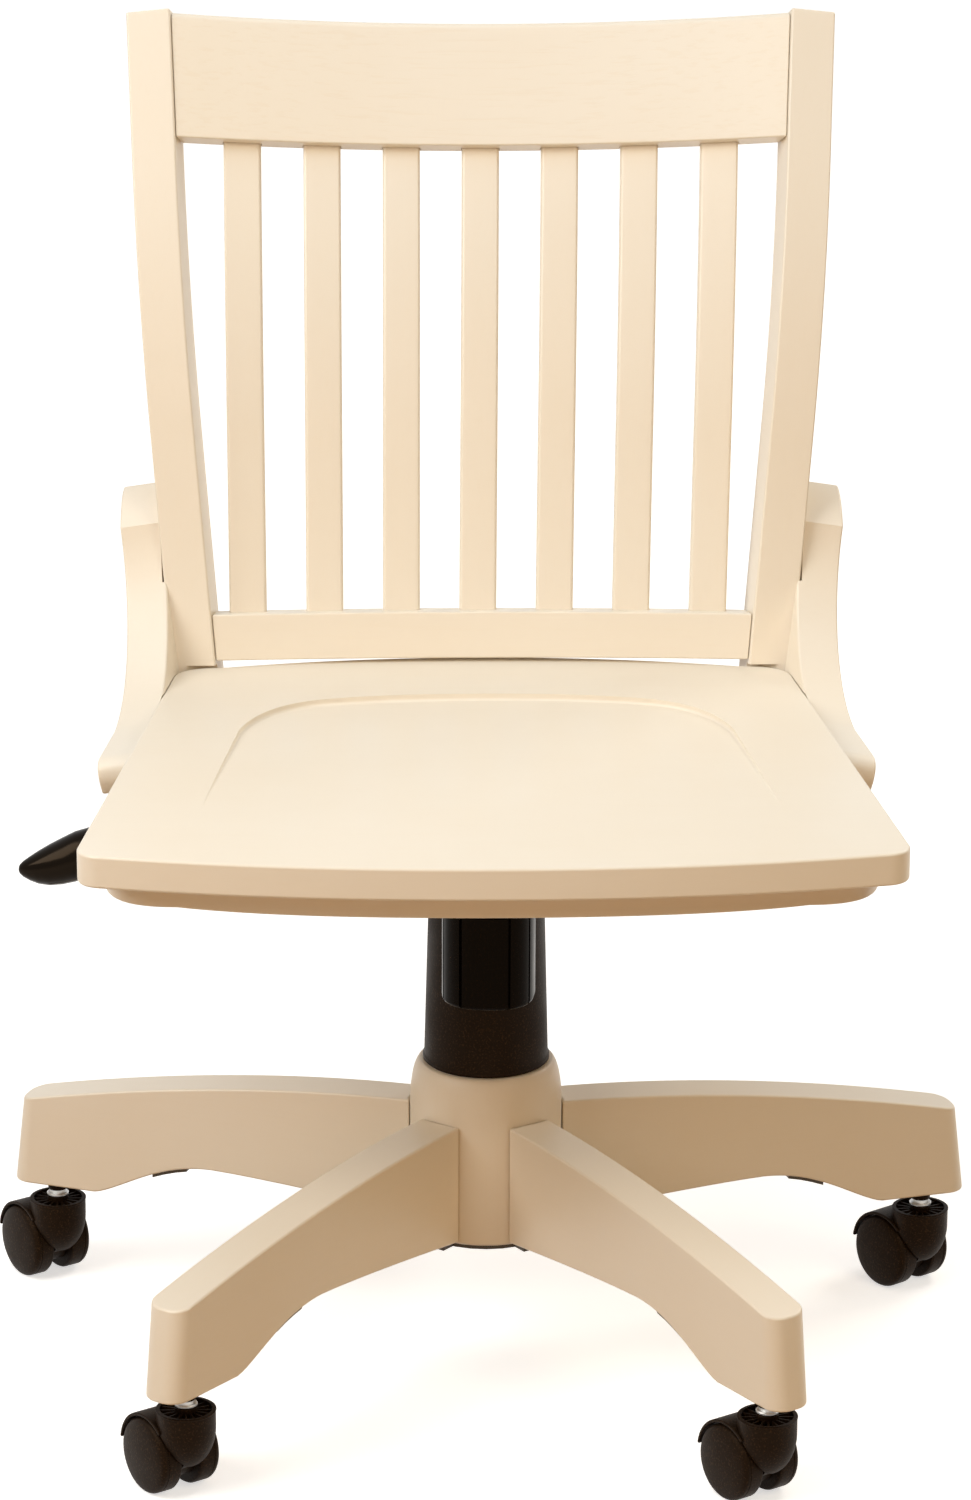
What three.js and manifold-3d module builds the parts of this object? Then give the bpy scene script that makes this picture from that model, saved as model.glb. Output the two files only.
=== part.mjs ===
// Swivel desk chair with a slatted back: millimetres, +Z up, origin on the floor under the swivel axis.
// The sitter faces -Y, so +X is the sitter's left and the lever hangs on the sitter's right at -X.
import * as THREE from 'three';
import { mergeVertices } from 'three/addons/utils/BufferGeometryUtils.js';
import Module from 'manifold-3d';

const wasm = await Module();
wasm.setup();

// General clearances and steps
const fit = 0.3;
const weldShare = 0.001;
const overrun = 6;
const roundSegments = 28;
const mediumSegments = 20;
const smallSegments = 12;
const headSegments = 6;

// Hub of the base
const hubRadius = 47.8;
const hubBottom = 82.4;
const hubTop = 192;
const hubTopRadius = 41;
const hubShoulder = 27;
const hubShoulderSteps = 5;
const hubFootChamfer = 1.6;
const hubBore = 28;

// Five wooden legs
const legCount = 5;
const baseYaw = 2.4;
const legWidth = 29;
const legReach = 323;
const legTipSlope = 7;
const legTipTop = 127;
const legRootTop = 161.8;
const legCrownRadius = 170;
const legCrownHeight = 160;
const legCornerRadius = 12;
const legEdge = 2;
const legCope = 40;
const legTopSteps = 6;
const legTipSteps = 5;
const footBottom = 69;
const footInner = 264;
const archRadius = 182;
const archHeight = 95;
const archRoot = 84.4;
const swellShare = 0.7;
const swellSteps = 6;
const archSteps = 4;
const archShare = 1.3;

// Steel spider that carries the legs from below
const spiderPlate = 2.7;
const spiderPlateRadius = 45;
const spiderSleeve = 2.4;
const spiderSleeveTop = 137;
const strapSteps = 7;
const strapWidth = 16;
const strapThickness = 3;
const strapEnd = 224;
const lugWidth = 16;
const lugEnd = 54;
const padWidth = 24;
const padStart = 200;
const padThickness = 2.4;
const padSteps = 3;
const screwRadius = 4.6;
const screwHeight = 2;
const innerScrew = 66;
const outerScrew = 212;

// Casters
const stemInset = 27;
const wheelRadius = 23.5;
const wheelWidth = 15.3;
const wheelInner = 6.6;
const wheelTread = 11;
const wheelDome = 1.4;
const wheelFaceRadius = 16;
const wheelShoulderRadius = 21.4;
const wheelShoulder = 13.8;
const wheelEdgeRadius = 22.8;
const wheelEdge = 12.7;
const wheelSegments = 18;
const trail = 17;
const axleRadius = 3;
const axleReach = 18;
const hoodTop = 56.2;
const cupSegments = 18;
const cupSteps = 4;
const cupRadius = 18;
const cupWall = 2.2;
const cupFloor = 43;
const cupStraight = 12;
const cupChin = 18.5;
const bossRadius = 6.8;
const bossTop = 58;
const ribCount = 8;
const ribWidth = 1.4;
const ribTop = 55;
const webRadius = 17;
const fenderGap = 1.2;
const fenderWall = 2;
const fenderWidth = 39;
const fenderStart = 50;
const fenderEnd = 172;
const fenderSteps = 6;
const stemRadius = 5;
const stemFoot = 39;
const stemRingRadius = 7.1;
const stemRing = 1.9;
const sleeveRadius = 6.2;
const sleeveTop = 100;
const sleeveDrop = 6.6;
const casterHeadings = [145, 146, 150, 143, 146];

// Gas lift
const tubeRadius = 25;
const tubeWall = 1.6;
const tubeBottom = 76;
const tubeTop = 287;
const tubeFloor = 3.4;
const bushLip = 2;
const bushLength = 84;
const cylinderRadius = 14;
const cylinderWall = 2.4;
const cylinderBottom = 125;
const cylinderTop = 338;
const cylinderTopRadius = 13;
const cylinderTaperStart = 297;
const cylinderCrown = 22;
const cylinderEnd = 5;
const rodRadius = 5;
const rodBottom = 68.5;
const rodTop = 243;
const rodShoulder = 8.5;
const rodShoulderHeight = 5;
const bearingRadius = 12;
const bearingHeight = 6;
const clipRadius = 9;
const clipHeight = 1.6;
const clipGap = 5;
const buttonRadius = 4;
const buttonLength = 38;
const buttonRise = 9;

// Telescopic dust cover
const coverRadius = 39;
const coverTopRadius = 36.2;
const coverTop = 302;
const coverWall = 1.8;
const coverRim = 39.8;
const coverRimHeight = 3;
const middleCoverRadius = 34;
const middleCoverTop = 303;
const upperCoverRadius = 31.2;
const upperCoverBottom = 203;
const innerCoverWall = 1.5;

// Tilt control under the seat
const housingHalf = 42;
const housingFront = -38;
const housingRear = 58;
const housingBottom = 311;
const housingTop = 351;
const housingWall = 2.5;
const noseHalf = 25;
const noseFront = -104;
const noseBottom = 342;
const socketWall = 4.5;
const socketBottom = 302;
const socketTop = 334;
const tiltPinY = 38;
const tiltPinZ = 342;
const tiltPinRadius = 5;
const pinHeadRadius = 7.5;
const pinHead = 3;
const earThickness = 3;
const earHalf = 11;
const earDrop = 18;
const plateThickness = 3;
const plateHalf = 80;
const plateFront = -100;
const plateRear = 78;
const plateBoltInset = 14;
const plateBoltRadius = 7;
const plateBoltHead = 4;

// Tension bolt, spring and knob
const boltY = -70;
const boltRadius = 4;
const boltHeadRadius = 8;
const boltHead = 5;
const boltSlot = 17;
const knobFace = 28.5;
const knobCorner = 31;
const knobTurn = -6.5;
const knobSides = 40;
const knobBottom = 258;
const knobTop = 319;
const knobFloor = 10;
const knobBore = 21;
const knobEdge = 3.4;
const knobLobes = 4;
const lobeHalf = 29.5;
const grooveWidth = 1.8;
const grooveDepth = 1.6;
const springRadius = 15;
const springWire = 4.6;
const springTurns = 6;
const springTurnSteps = 8;
const springWireSides = 5;

// Height lever
const leverRodRadius = 3.5;
const leverZ = 350.9;
const leverSlot = 8;
const leverInnerReach = 5;
const leverRodSides = 8;
const leverCrankX = -58;
const leverOuterX = -76;
const leverOuterZ = 340;
const paddleSocket = 14;
const paddleRoot = -209;
const paddleBend = -248;
const paddleBelly = -266;
const paddleNeck = -284;
const paddleTip = -291.5;
const paddleBendZ = 328;
const paddleBellyZ = 321;
const paddleTipZ = 318;
const paddleHalfHeight = 16;
const paddleHalfWidth = 14.5;
const paddleSides = 14;
const paddleRootShare = 0.55;
const paddleBellyShare = 0.86;
const paddleNeckShare = 0.44;
const paddleTipShare = 0.14;

// Seat
const seatTop = 402;
const seatThickness = 20;
const seatFront = -248;
const seatFrontHalf = 244;
const seatCornerY = -206;
const seatCornerRadius = 16;
const seatFrontSag = 24;
const seatRearHalf = 199;
const seatRearCornerY = 131;
const seatRear = 176;
const seatRearShoulder = 33;
const seatRearShoulderY = 155;
const seatEdge = 1.5;
const seatPlanSteps = 6;
const dishSteps = 8;
const underThickness = 19;
const underFrontInset = 24;
const underSideInset = 14;
const underRearInset = 12;
const underCornerY = -158;
const underShoulder = 58;
const underShoulderY = -203;
const underEdge = 1.5;
const boltPocketRadius = 11;
const boltPocketDepth = 8;
const dishRear = 95;
const dishFront = -150;
const dishDepth = 3.2;
const dishRearHalf = 128;
const dishCornerY = 72;
const dishWaistY = 20;
const dishWaistHalf = 154;
const dishFrontHalf = 176;

// Back posts
const postWidth = 28;
const postDepth = 30;
const postInset = 27;
const postFrontY = 151.5;
const postFootZ = 404;
const postTail = 37;
const postSplay = 0.1025;
const postLength = 424;
const postBendStart = 150;
const postBendEnd = 330;
const lowerRecline = 8;
const upperRecline = 23.5;
const postSteps = 9;
const postEdge = 1.2;

// Rails and slats of the back
const crestBow = 32;
const railBow = 10;
const crestBottom = 340.5;
const crestHeight = 81.5;
const crestThickness = 20;
const crestEdge = 4.5;
const railBottom = 2.5;
const railHeight = 30;
const railThickness = 19;
const railFrontInset = 2;
const railEdge = 1.5;
const railSteps = 12;
const slatCount = 7;
const slatWidth = 24;
const slatThickness = 11;
const slatInset = 9;
const slatFootSetback = 11.8;
const slatHeadSetback = 6.4;
const slatLean = 2.6;
const slatTenon = 12;
const slatEdge = 2;
const slatSteps = 7;

// Side brackets
const bracketThickness = 26.5;
const bracketRebate = 2.5;
const bracketFront = -8;
const bracketBottom = 372;
const bracketToeHeight = 22;
const bracketToeRadius = 12;
const bracketWaistY = 56;
const bracketWaistPull = 62;
const bracketKnuckleY = 172;
const bracketKnucklePull = 48;
const bracketKnuckleZ = 494;
const bracketTopY = 203;
const bracketTopZ = 513;
const bracketBackY = 210;
const bracketBackZ = 475;
const bracketHeelY = 158;
const bracketEdge = 1.4;
const bracketSteps = 7;

const radians = THREE.MathUtils.degToRad;
const stemCircle = legReach - stemInset;
const seatRearShoulderX = seatRearHalf - seatRearShoulder;
const underShoulderX = seatFrontHalf - underShoulder;
const postInner = seatRearHalf - postInset;
const slatSideCount = (slatCount - 1) / 2;
const slatPitchBottom = (postInner - slatFootSetback - slatWidth / 2) / slatSideCount;
const slatPitchTop = (postInner - slatHeadSetback - slatWidth / 2) / slatSideCount;
const seatUnderside = seatTop - seatThickness;
const boardUnderside = seatUnderside - underThickness;
const seatTaper = (seatFrontHalf - seatRearHalf) / (seatRearCornerY - seatCornerY);
const plateTop = boardUnderside - fit;
const plateUnderside = plateTop - plateThickness;

const paint = new THREE.MeshStandardMaterial({ color: 0xf0dfc2, roughness: 0.42, metalness: 0 });
const blackPlastic = new THREE.MeshStandardMaterial({ color: 0x26211e, roughness: 0.55, metalness: 0 });
const glossPlastic = new THREE.MeshStandardMaterial({ color: 0x0d0c0b, roughness: 0.12, metalness: 0 });
const blackSteel = new THREE.MeshStandardMaterial({ color: 0x1d1b1a, roughness: 0.45, metalness: 0.7 });
const brightSteel = new THREE.MeshStandardMaterial({ color: 0xc8c8c6, roughness: 0.2, metalness: 1 });
const nylon = new THREE.MeshStandardMaterial({ color: 0xd9d4c6, roughness: 0.5, metalness: 0 });

// A closed geometry as a solid that can be joined and cut
function solid(geometry) {
  const bare = geometry.index ? geometry : geometry.clone();
  bare.deleteAttribute('normal');
  bare.deleteAttribute('uv');
  const merged = mergeVertices(bare, fit * weldShare);
  return new wasm.Manifold(new wasm.Mesh({
    numProp: 3,
    vertProperties: Float32Array.from(merged.attributes.position.array),
    triVerts: Uint32Array.from(merged.index.array),
  }));
}

function piece(name, shape, material) {
  const result = shape.getMesh();
  const geometry = new THREE.BufferGeometry();
  geometry.setAttribute('position', new THREE.BufferAttribute(result.vertProperties, 3));
  geometry.setIndex(new THREE.BufferAttribute(result.triVerts, 1));
  geometry.computeVertexNormals();
  const mesh = new THREE.Mesh(geometry, material);
  mesh.name = name;
  return mesh;
}

function union(first, ...rest) {
  return rest.reduce((whole, next) => whole.add(next), first);
}

// A box between two corners
function block(low, high) {
  const size = high.map((value, axis) => value - low[axis]);
  const middle = high.map((value, axis) => (value + low[axis]) / 2);
  return solid(new THREE.BoxGeometry(...size).translate(...middle));
}

// An upright cylinder between two heights
function post(radius, bottom, top, x = 0, y = 0, segments = roundSegments) {
  const cylinder = new THREE.CylinderGeometry(radius, radius, top - bottom, segments);
  return solid(cylinder.rotateX(Math.PI / 2).translate(x, y, (top + bottom) / 2));
}

// A cylinder that lies along X
function crossBar(radius, left, right, y, z, segments = smallSegments) {
  const cylinder = new THREE.CylinderGeometry(radius, radius, right - left, segments);
  return solid(cylinder.rotateZ(Math.PI / 2).translate((left + right) / 2, y, z));
}

// A turned solid: the profile is a list of [radius, height] that runs once round the section
function turned(profile, segments = roundSegments) {
  const points = [...profile, profile[0]].map(([radius, height]) => new THREE.Vector2(radius, height));
  return solid(new THREE.LatheGeometry(points, segments).rotateX(Math.PI / 2));
}

// An outline in the Y-Z plane made into a board across X, centred on X
function boardAcross(shape, width, edge = 0, curveSegments = 6) {
  const options = { depth: width - 2 * edge, bevelEnabled: edge > 0, bevelThickness: edge,
    bevelSize: edge, bevelOffset: -edge, bevelSegments: 1, curveSegments };
  const geometry = new THREE.ExtrudeGeometry(shape, options).translate(0, 0, edge - width / 2);
  const turn = new THREE.Matrix4().makeBasis(new THREE.Vector3(0, 1, 0), new THREE.Vector3(0, 0, 1),
    new THREE.Vector3(1, 0, 0));
  return solid(geometry.applyMatrix4(turn));
}

// An outline in the X-Y plane made into a slab between two heights
function slab(shape, bottom, top, edge = 0, curveSegments = 10) {
  const options = { depth: top - bottom - 2 * edge, bevelEnabled: edge > 0, bevelThickness: edge,
    bevelSize: edge, bevelOffset: -edge, bevelSegments: 1, curveSegments };
  return solid(new THREE.ExtrudeGeometry(shape, options).translate(0, 0, bottom + edge));
}

// Twice the area of a ring, as a vector square to it
function ringNormal(ring) {
  return ring.reduce((sum, point, index) => {
    const next = ring[(index + 1) % ring.length];
    return sum.add(new THREE.Vector3().crossVectors(point.clone().sub(ring[0]), next.clone().sub(ring[0])));
  }, new THREE.Vector3());
}

// Closed rings of equal length joined into one skin with flat ends
function loft(stations) {
  const forward = stations[1][0].clone().sub(stations[0][0]);
  const backwards = ringNormal(stations[0]).dot(forward) < 0;
  const rings = backwards ? stations.map((ring) => [...ring].reverse()) : stations;
  const count = rings[0].length;
  const positions = rings.flat().flatMap((point) => point.toArray());
  const index = [];
  for (let ring = 0; ring < rings.length - 1; ring += 1) {
    for (let side = 0; side < count; side += 1) {
      const a = ring * count + side;
      const b = ring * count + (side + 1) % count;
      index.push(a, b, b + count, a, b + count, a + count);
    }
  }
  const last = (rings.length - 1) * count;
  for (let side = 1; side < count - 1; side += 1) {
    index.push(0, side + 1, side);
    index.push(last, last + side, last + side + 1);
  }
  const geometry = new THREE.BufferGeometry();
  geometry.setAttribute('position', new THREE.Float32BufferAttribute(positions, 3));
  geometry.setIndex(index);
  return solid(geometry);
}

// Leans a board whose inner face lies on X = 0: sideways with height, and across with depth
function leanAcross(body, perHeight, zeroHeight, perDepth, zeroDepth, x) {
  const matrix = new THREE.Matrix4().set(
    1, perDepth, perHeight, x - perHeight * zeroHeight - perDepth * zeroDepth,
    0, 1, 0, 0,
    -perHeight, 0, 1, 0,
    0, 0, 0, 1,
  );
  return body.transform(matrix.toArray());
}

function mirrored(body) {
  return body.mirror([1, 0, 0]);
}

function legHeading(index) {
  return baseYaw + 360 / legCount * (index + 0.5);
}

function place(group, x, y, heading) {
  group.position.set(x, y, 0);
  group.rotation.z = -radians(heading);
  return group;
}

// Underside of a leg: a flat foot, a swelling curve and a shallow arch back to the hub
function undersideHeight(radius) {
  if (radius >= footInner) {
    return footBottom;
  }
  if (radius >= archRadius) {
    const rise = (footInner - radius) / (footInner - archRadius);
    return footBottom + (archHeight - footBottom) * Math.sin(Math.PI / 2 * rise ** swellShare) ** 2;
  }
  const fall = (archRadius - radius) / (archRadius - hubRadius);
  return archHeight - (archHeight - archRoot) * Math.max(fall, 0) ** archShare;
}

function undersidePoints(from, to, count, lift = 0) {
  return Array.from({ length: count + 1 }, (_, step) => {
    const radius = from + (to - from) * step / count;
    return new THREE.Vector2(-radius, undersideHeight(radius) + lift);
  });
}

// A strip that follows the underside of a leg
function undersideStrip(from, to, count, below, above, width) {
  const lower = undersidePoints(from, to, count, -below);
  const upper = undersidePoints(to, from, count, above);
  return boardAcross(new THREE.Shape([...lower, ...upper]), width);
}

function legShape() {
  const shape = new THREE.Shape();
  shape.moveTo(-legCope, legRootTop);
  shape.quadraticCurveTo(-legCrownRadius, legCrownHeight, -(legReach - legTipSlope), legTipTop);
  shape.lineTo(-legReach, footBottom);
  undersidePoints(footInner, archRadius, swellSteps).forEach((point) => shape.lineTo(point.x, point.y));
  undersidePoints(archRadius, legCope, archSteps).slice(1).forEach((point) => shape.lineTo(point.x, point.y));
  return shape;
}

function legPlan() {
  const half = legWidth / 2 + overrun;
  const side = legWidth / 2;
  const inner = side - legCornerRadius;
  const shape = new THREE.Shape();
  shape.moveTo(half, 0);
  shape.lineTo(half, -stemCircle);
  shape.lineTo(side, -stemCircle);
  shape.lineTo(side, -(legReach - legCornerRadius));
  shape.absarc(inner, -(legReach - legCornerRadius), legCornerRadius, 0, -Math.PI / 2, true);
  shape.absarc(-inner, -(legReach - legCornerRadius), legCornerRadius, -Math.PI / 2, -Math.PI, true);
  shape.lineTo(-side, -stemCircle);
  shape.lineTo(-half, -stemCircle);
  shape.lineTo(-half, 0);
  return shape;
}

// The strap, lug and pad that one leg is screwed to, grown all round by a clearance
function spiderArm(grow) {
  const lugTop = undersideHeight(lugEnd) + strapThickness / 2;
  const strap = undersideStrip(hubRadius + fit - grow, strapEnd + grow, strapSteps, grow,
    strapThickness + grow, strapWidth + 2 * grow);
  const pad = undersideStrip(padStart - grow, strapEnd + grow, padSteps, padThickness + grow,
    strapThickness / 2 + grow, padWidth + 2 * grow);
  const lug = block([-lugWidth / 2 - grow, -lugEnd - grow, hubBottom - fit - spiderPlate],
    [lugWidth / 2 + grow, -hubRadius - fit + grow, lugTop + grow]);
  return union(strap, pad, lug);
}

function leg() {
  const body = boardAcross(legShape(), legWidth, legEdge, legTopSteps);
  const tipAngle = Math.atan2(legTipSlope, legTipTop - footBottom);
  const plan = slab(legPlan(), footBottom - legWidth, legRootTop + legWidth, 0, legTipSteps);
  const leaned = plan.translate([0, legReach, -footBottom])
    .rotate([-THREE.MathUtils.radToDeg(tipAngle), 0, 0])
    .translate([0, -legReach, footBottom]);
  const socket = post(sleeveRadius + fit, footBottom - overrun, sleeveTop + fit, 0, -stemCircle,
    smallSegments);
  return body.intersect(leaned)
    .subtract(post(hubRadius + fit, hubBottom - overrun, hubTop + overrun))
    .subtract(spiderArm(fit))
    .subtract(socket);
}

function hub() {
  const shoulder = [];
  for (let step = 0; step <= hubShoulderSteps; step += 1) {
    const angle = Math.PI / 2 * step / hubShoulderSteps;
    shoulder.push([hubTopRadius + (hubRadius - hubTopRadius) * Math.cos(angle),
      hubTop - hubShoulder + hubShoulder * Math.sin(angle)]);
  }
  return turned([[hubBore, hubBottom], [hubRadius - hubFootChamfer, hubBottom],
    [hubRadius, hubBottom + hubFootChamfer], ...shoulder, [hubBore, hubTop]]);
}

function spider() {
  const plateZ = hubBottom - fit;
  const bore = tubeRadius + fit;
  const plate = turned([[bore, plateZ - spiderPlate], [spiderPlateRadius, plateZ - spiderPlate],
    [spiderPlateRadius, plateZ], [bore + spiderSleeve, plateZ], [bore + spiderSleeve, spiderSleeveTop],
    [bore, spiderSleeveTop]]);
  let whole = plate;
  for (let index = 0; index < legCount; index += 1) {
    const tab = block([-lugWidth / 2, -lugEnd, plateZ - spiderPlate],
      [lugWidth / 2, -(spiderPlateRadius - overrun), plateZ]);
    const strapBottom = undersideHeight(innerScrew);
    const innerHead = post(screwRadius, strapBottom - screwHeight, strapBottom + strapThickness / 2,
      0, -innerScrew, headSegments);
    const padBottom = undersideHeight(outerScrew) - padThickness;
    const outerHead = post(screwRadius, padBottom - screwHeight, padBottom + strapThickness, 0, -outerScrew,
      headSegments);
    const arm = union(spiderArm(0), tab, innerHead, outerHead);
    whole = whole.add(arm.rotate([0, 0, -legHeading(index)]));
  }
  return whole;
}

// A wheel turned about its axle: flat inner face, tread, rounded edge and a domed outer face
function wheel(side) {
  const tread = wheelRadius / Math.cos(Math.PI / wheelSegments);
  const outer = wheelInner + wheelWidth;
  const profile = [[axleRadius + fit, wheelInner], [wheelShoulderRadius, wheelInner],
    [tread, wheelInner + wheelDome], [tread, wheelInner + wheelTread],
    [wheelEdgeRadius, wheelInner + wheelEdge], [wheelShoulderRadius, wheelInner + wheelShoulder],
    [wheelFaceRadius, outer], [0, outer + wheelDome],
    [0, axleReach + fit], [axleRadius + fit, axleReach + fit]];
  const body = turned(profile, wheelSegments).rotate([0, 0, 180 / wheelSegments]).rotate([0, 90, 0]);
  const shape = side < 0 ? mirrored(body) : body;
  return shape.translate([0, -trail, wheelRadius]);
}

function ringSector(inner, outer, start, end) {
  const shape = new THREE.Shape();
  shape.absarc(-trail, wheelRadius, outer, radians(start), radians(end), false);
  shape.absarc(-trail, wheelRadius, inner, radians(end), radians(start), true);
  return shape;
}

// The cup of a caster hood is straight at the rim and rounded like an egg cup below
function cupBody() {
  const waist = hoodTop - cupStraight;
  const profile = [];
  for (let step = 0; step <= cupSteps; step += 1) {
    const angle = Math.PI / 2 * step / cupSteps;
    profile.push([cupRadius * Math.sin(angle), waist - (waist - cupChin) * Math.cos(angle)]);
  }
  return turned([...profile, [cupRadius, hoodTop], [0, hoodTop]], cupSegments);
}

function casterHood() {
  const wheelRoom = wheelRadius / Math.cos(Math.PI / wheelSegments) + fenderGap - fit;
  const cup = cupBody();
  const wheelSpace = crossBar(wheelRoom, -fenderWidth, fenderWidth, -trail, wheelRadius, mediumSegments);
  const wheelArch = crossBar(wheelRoom + fenderWall, -fenderWidth, fenderWidth, -trail, wheelRadius,
    mediumSegments);
  const webHalf = wheelInner - fit;
  const web = crossBar(webRadius, -webHalf, webHalf, -trail, wheelRadius, smallSegments);
  const bridge = cup.intersect(block([-webHalf, -trail, 0], [webHalf, cupRadius, cupFloor]));
  const fenderRing = ringSector(wheelRoom, wheelRoom + fenderWall, fenderStart, fenderEnd);
  const fender = boardAcross(fenderRing, fenderWidth, 0, fenderSteps);
  const axle = crossBar(axleRadius, -axleReach, axleReach, -trail, wheelRadius, smallSegments);
  const bowl = post(cupRadius - cupWall, cupFloor, hoodTop + overrun, 0, 0, cupSegments).subtract(wheelArch);
  const boss = post(bossRadius, cupFloor - overrun, bossTop, 0, 0, smallSegments);
  let body = union(cup.subtract(wheelSpace), fender, web, bridge, axle).subtract(bowl)
    .add(boss.subtract(wheelSpace));
  for (let index = 0; index < ribCount; index += 1) {
    const rib = block([-ribWidth / 2, bossRadius - ribWidth, cupFloor - ribWidth],
      [ribWidth / 2, cupRadius - cupWall / 2, ribTop]);
    body = body.add(rib.rotate([0, 0, 360 / ribCount * (index + 0.5)]).subtract(wheelSpace));
  }
  return body.subtract(post(stemRadius + fit, stemFoot - fit, hoodTop + overrun, 0, 0, smallSegments));
}

// A stem with its ring, and the socket sleeve around its upper part that hangs out of the leg a little
function casterStem() {
  const ringBottom = bossTop + fit;
  const ringTop = ringBottom + stemRing;
  const sleeveBottom = footBottom - sleeveDrop;
  return turned([[0, stemFoot], [stemRadius, stemFoot], [stemRadius, ringBottom],
    [stemRingRadius, ringBottom], [stemRingRadius, ringTop], [stemRadius, ringTop],
    [stemRadius, sleeveBottom], [sleeveRadius, sleeveBottom], [sleeveRadius, sleeveTop],
    [0, sleeveTop]], smallSegments);
}

function base() {
  const group = new THREE.Group();
  group.add(piece('base_hub', hub(), paint));
  group.add(piece('base_spider', spider(), blackSteel));
  const legBody = leg();
  const hoodBody = casterHood();
  const stemBody = casterStem();
  for (let index = 0; index < legCount; index += 1) {
    const heading = legHeading(index);
    const number = index + 1;
    const arm = place(new THREE.Group(), 0, 0, heading);
    arm.add(piece(`leg_${number}`, legBody, paint));
    group.add(arm);
    const x = -stemCircle * Math.sin(radians(heading));
    const y = -stemCircle * Math.cos(radians(heading));
    const caster = place(new THREE.Group(), x, y, casterHeadings[index]);
    caster.add(piece(`caster_stem_${number}`, stemBody, brightSteel));
    caster.add(piece(`caster_hood_${number}`, hoodBody, blackPlastic));
    caster.add(piece(`caster_wheel_${number}_left`, wheel(1), blackPlastic));
    caster.add(piece(`caster_wheel_${number}_right`, wheel(-1), blackPlastic));
    group.add(caster);
  }
  return group;
}

// The cylinder narrows above the taper's start, and its socket in the housing follows
function cylinderRadiusAt(height) {
  const share = (height - cylinderTaperStart) / (cylinderTop - cylinderTaperStart);
  return cylinderRadius - (cylinderRadius - cylinderTopRadius) * Math.max(share, 0);
}

function gasLift() {
  const group = new THREE.Group();
  const tubeBore = tubeRadius - tubeWall;
  const floorTop = tubeBottom + tubeFloor;
  const rodHole = rodRadius + 3 * fit;
  const tube = turned([[rodHole, tubeBottom], [tubeRadius, tubeBottom], [tubeRadius, tubeTop],
    [tubeBore, tubeTop], [tubeBore, floorTop], [rodHole, floorTop]]);
  group.add(piece('stand_tube', tube, blackSteel));
  const bushTop = tubeTop + fit + bushLip;
  const bush = turned([[cylinderRadius + fit, bushTop - bushLength],
    [tubeBore - fit, bushTop - bushLength], [tubeBore - fit, tubeTop + fit], [tubeRadius, tubeTop + fit],
    [tubeRadius, bushTop], [cylinderRadius + fit, bushTop]], mediumSegments);
  group.add(piece('guide_bush', bush, nylon));
  const bearingBottom = floorTop + fit;
  const bearing = turned([[rodRadius + fit, bearingBottom], [bearingRadius, bearingBottom],
    [bearingRadius, bearingBottom + bearingHeight],
    [rodRadius + fit, bearingBottom + bearingHeight]], mediumSegments);
  group.add(piece('thrust_bearing', bearing, brightSteel));
  const shoulder = bearingBottom + bearingHeight + fit;
  const groove = tubeBottom - fit - clipHeight;
  const rod = turned([[0, rodBottom], [rodRadius, rodBottom], [rodRadius, shoulder],
    [rodShoulder, shoulder], [rodShoulder, shoulder + rodShoulderHeight],
    [rodRadius, shoulder + rodShoulderHeight], [rodRadius, rodTop], [0, rodTop]], smallSegments);
  group.add(piece('piston_rod', rod, brightSteel));
  const clipRing = turned([[rodRadius + fit, groove], [clipRadius, groove], [clipRadius, groove + clipHeight],
    [rodRadius + fit, groove + clipHeight]], mediumSegments);
  const clipMouth = block([0, -clipGap / 2, groove - overrun],
    [clipRadius + overrun, clipGap / 2, tubeBottom]);
  group.add(piece('retaining_clip', clipRing.subtract(clipMouth), brightSteel));
  const bore = cylinderRadius - cylinderWall;
  const crownBottom = cylinderTop - cylinderCrown;
  const cylinder = turned([[rodRadius + fit, cylinderBottom], [cylinderRadius, cylinderBottom],
    [cylinderRadius, cylinderTaperStart], [cylinderTopRadius, cylinderTop],
    [buttonRadius + fit, cylinderTop], [buttonRadius + fit, crownBottom], [bore, crownBottom],
    [bore, cylinderBottom + cylinderEnd], [rodRadius + fit, cylinderBottom + cylinderEnd]], mediumSegments);
  group.add(piece('pressure_cylinder', cylinder, blackSteel));
  const buttonTop = cylinderTop + buttonRise;
  group.add(piece('valve_button', post(buttonRadius, buttonTop - buttonLength, buttonTop, 0, 0,
    smallSegments), brightSteel));
  return group;
}

function sleeve(radius, wall, bottom, top) {
  return turned([[radius - wall, bottom], [radius, bottom], [radius, top], [radius - wall, top]]);
}

function dustCover() {
  const group = new THREE.Group();
  const bottom = hubTop + fit;
  group.add(piece('dust_cover_lower', turned([[coverRadius - coverWall, bottom], [coverRim, bottom],
    [coverRim, bottom + coverRimHeight], [coverRadius, bottom + coverRimHeight], [coverTopRadius, coverTop],
    [coverTopRadius - coverWall, coverTop]]), blackPlastic));
  group.add(piece('dust_cover_middle', sleeve(middleCoverRadius, innerCoverWall, bottom, middleCoverTop),
    blackPlastic));
  group.add(piece('dust_cover_upper', sleeve(upperCoverRadius, innerCoverWall, upperCoverBottom,
    housingBottom - fit), blackPlastic));
  return group;
}

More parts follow.
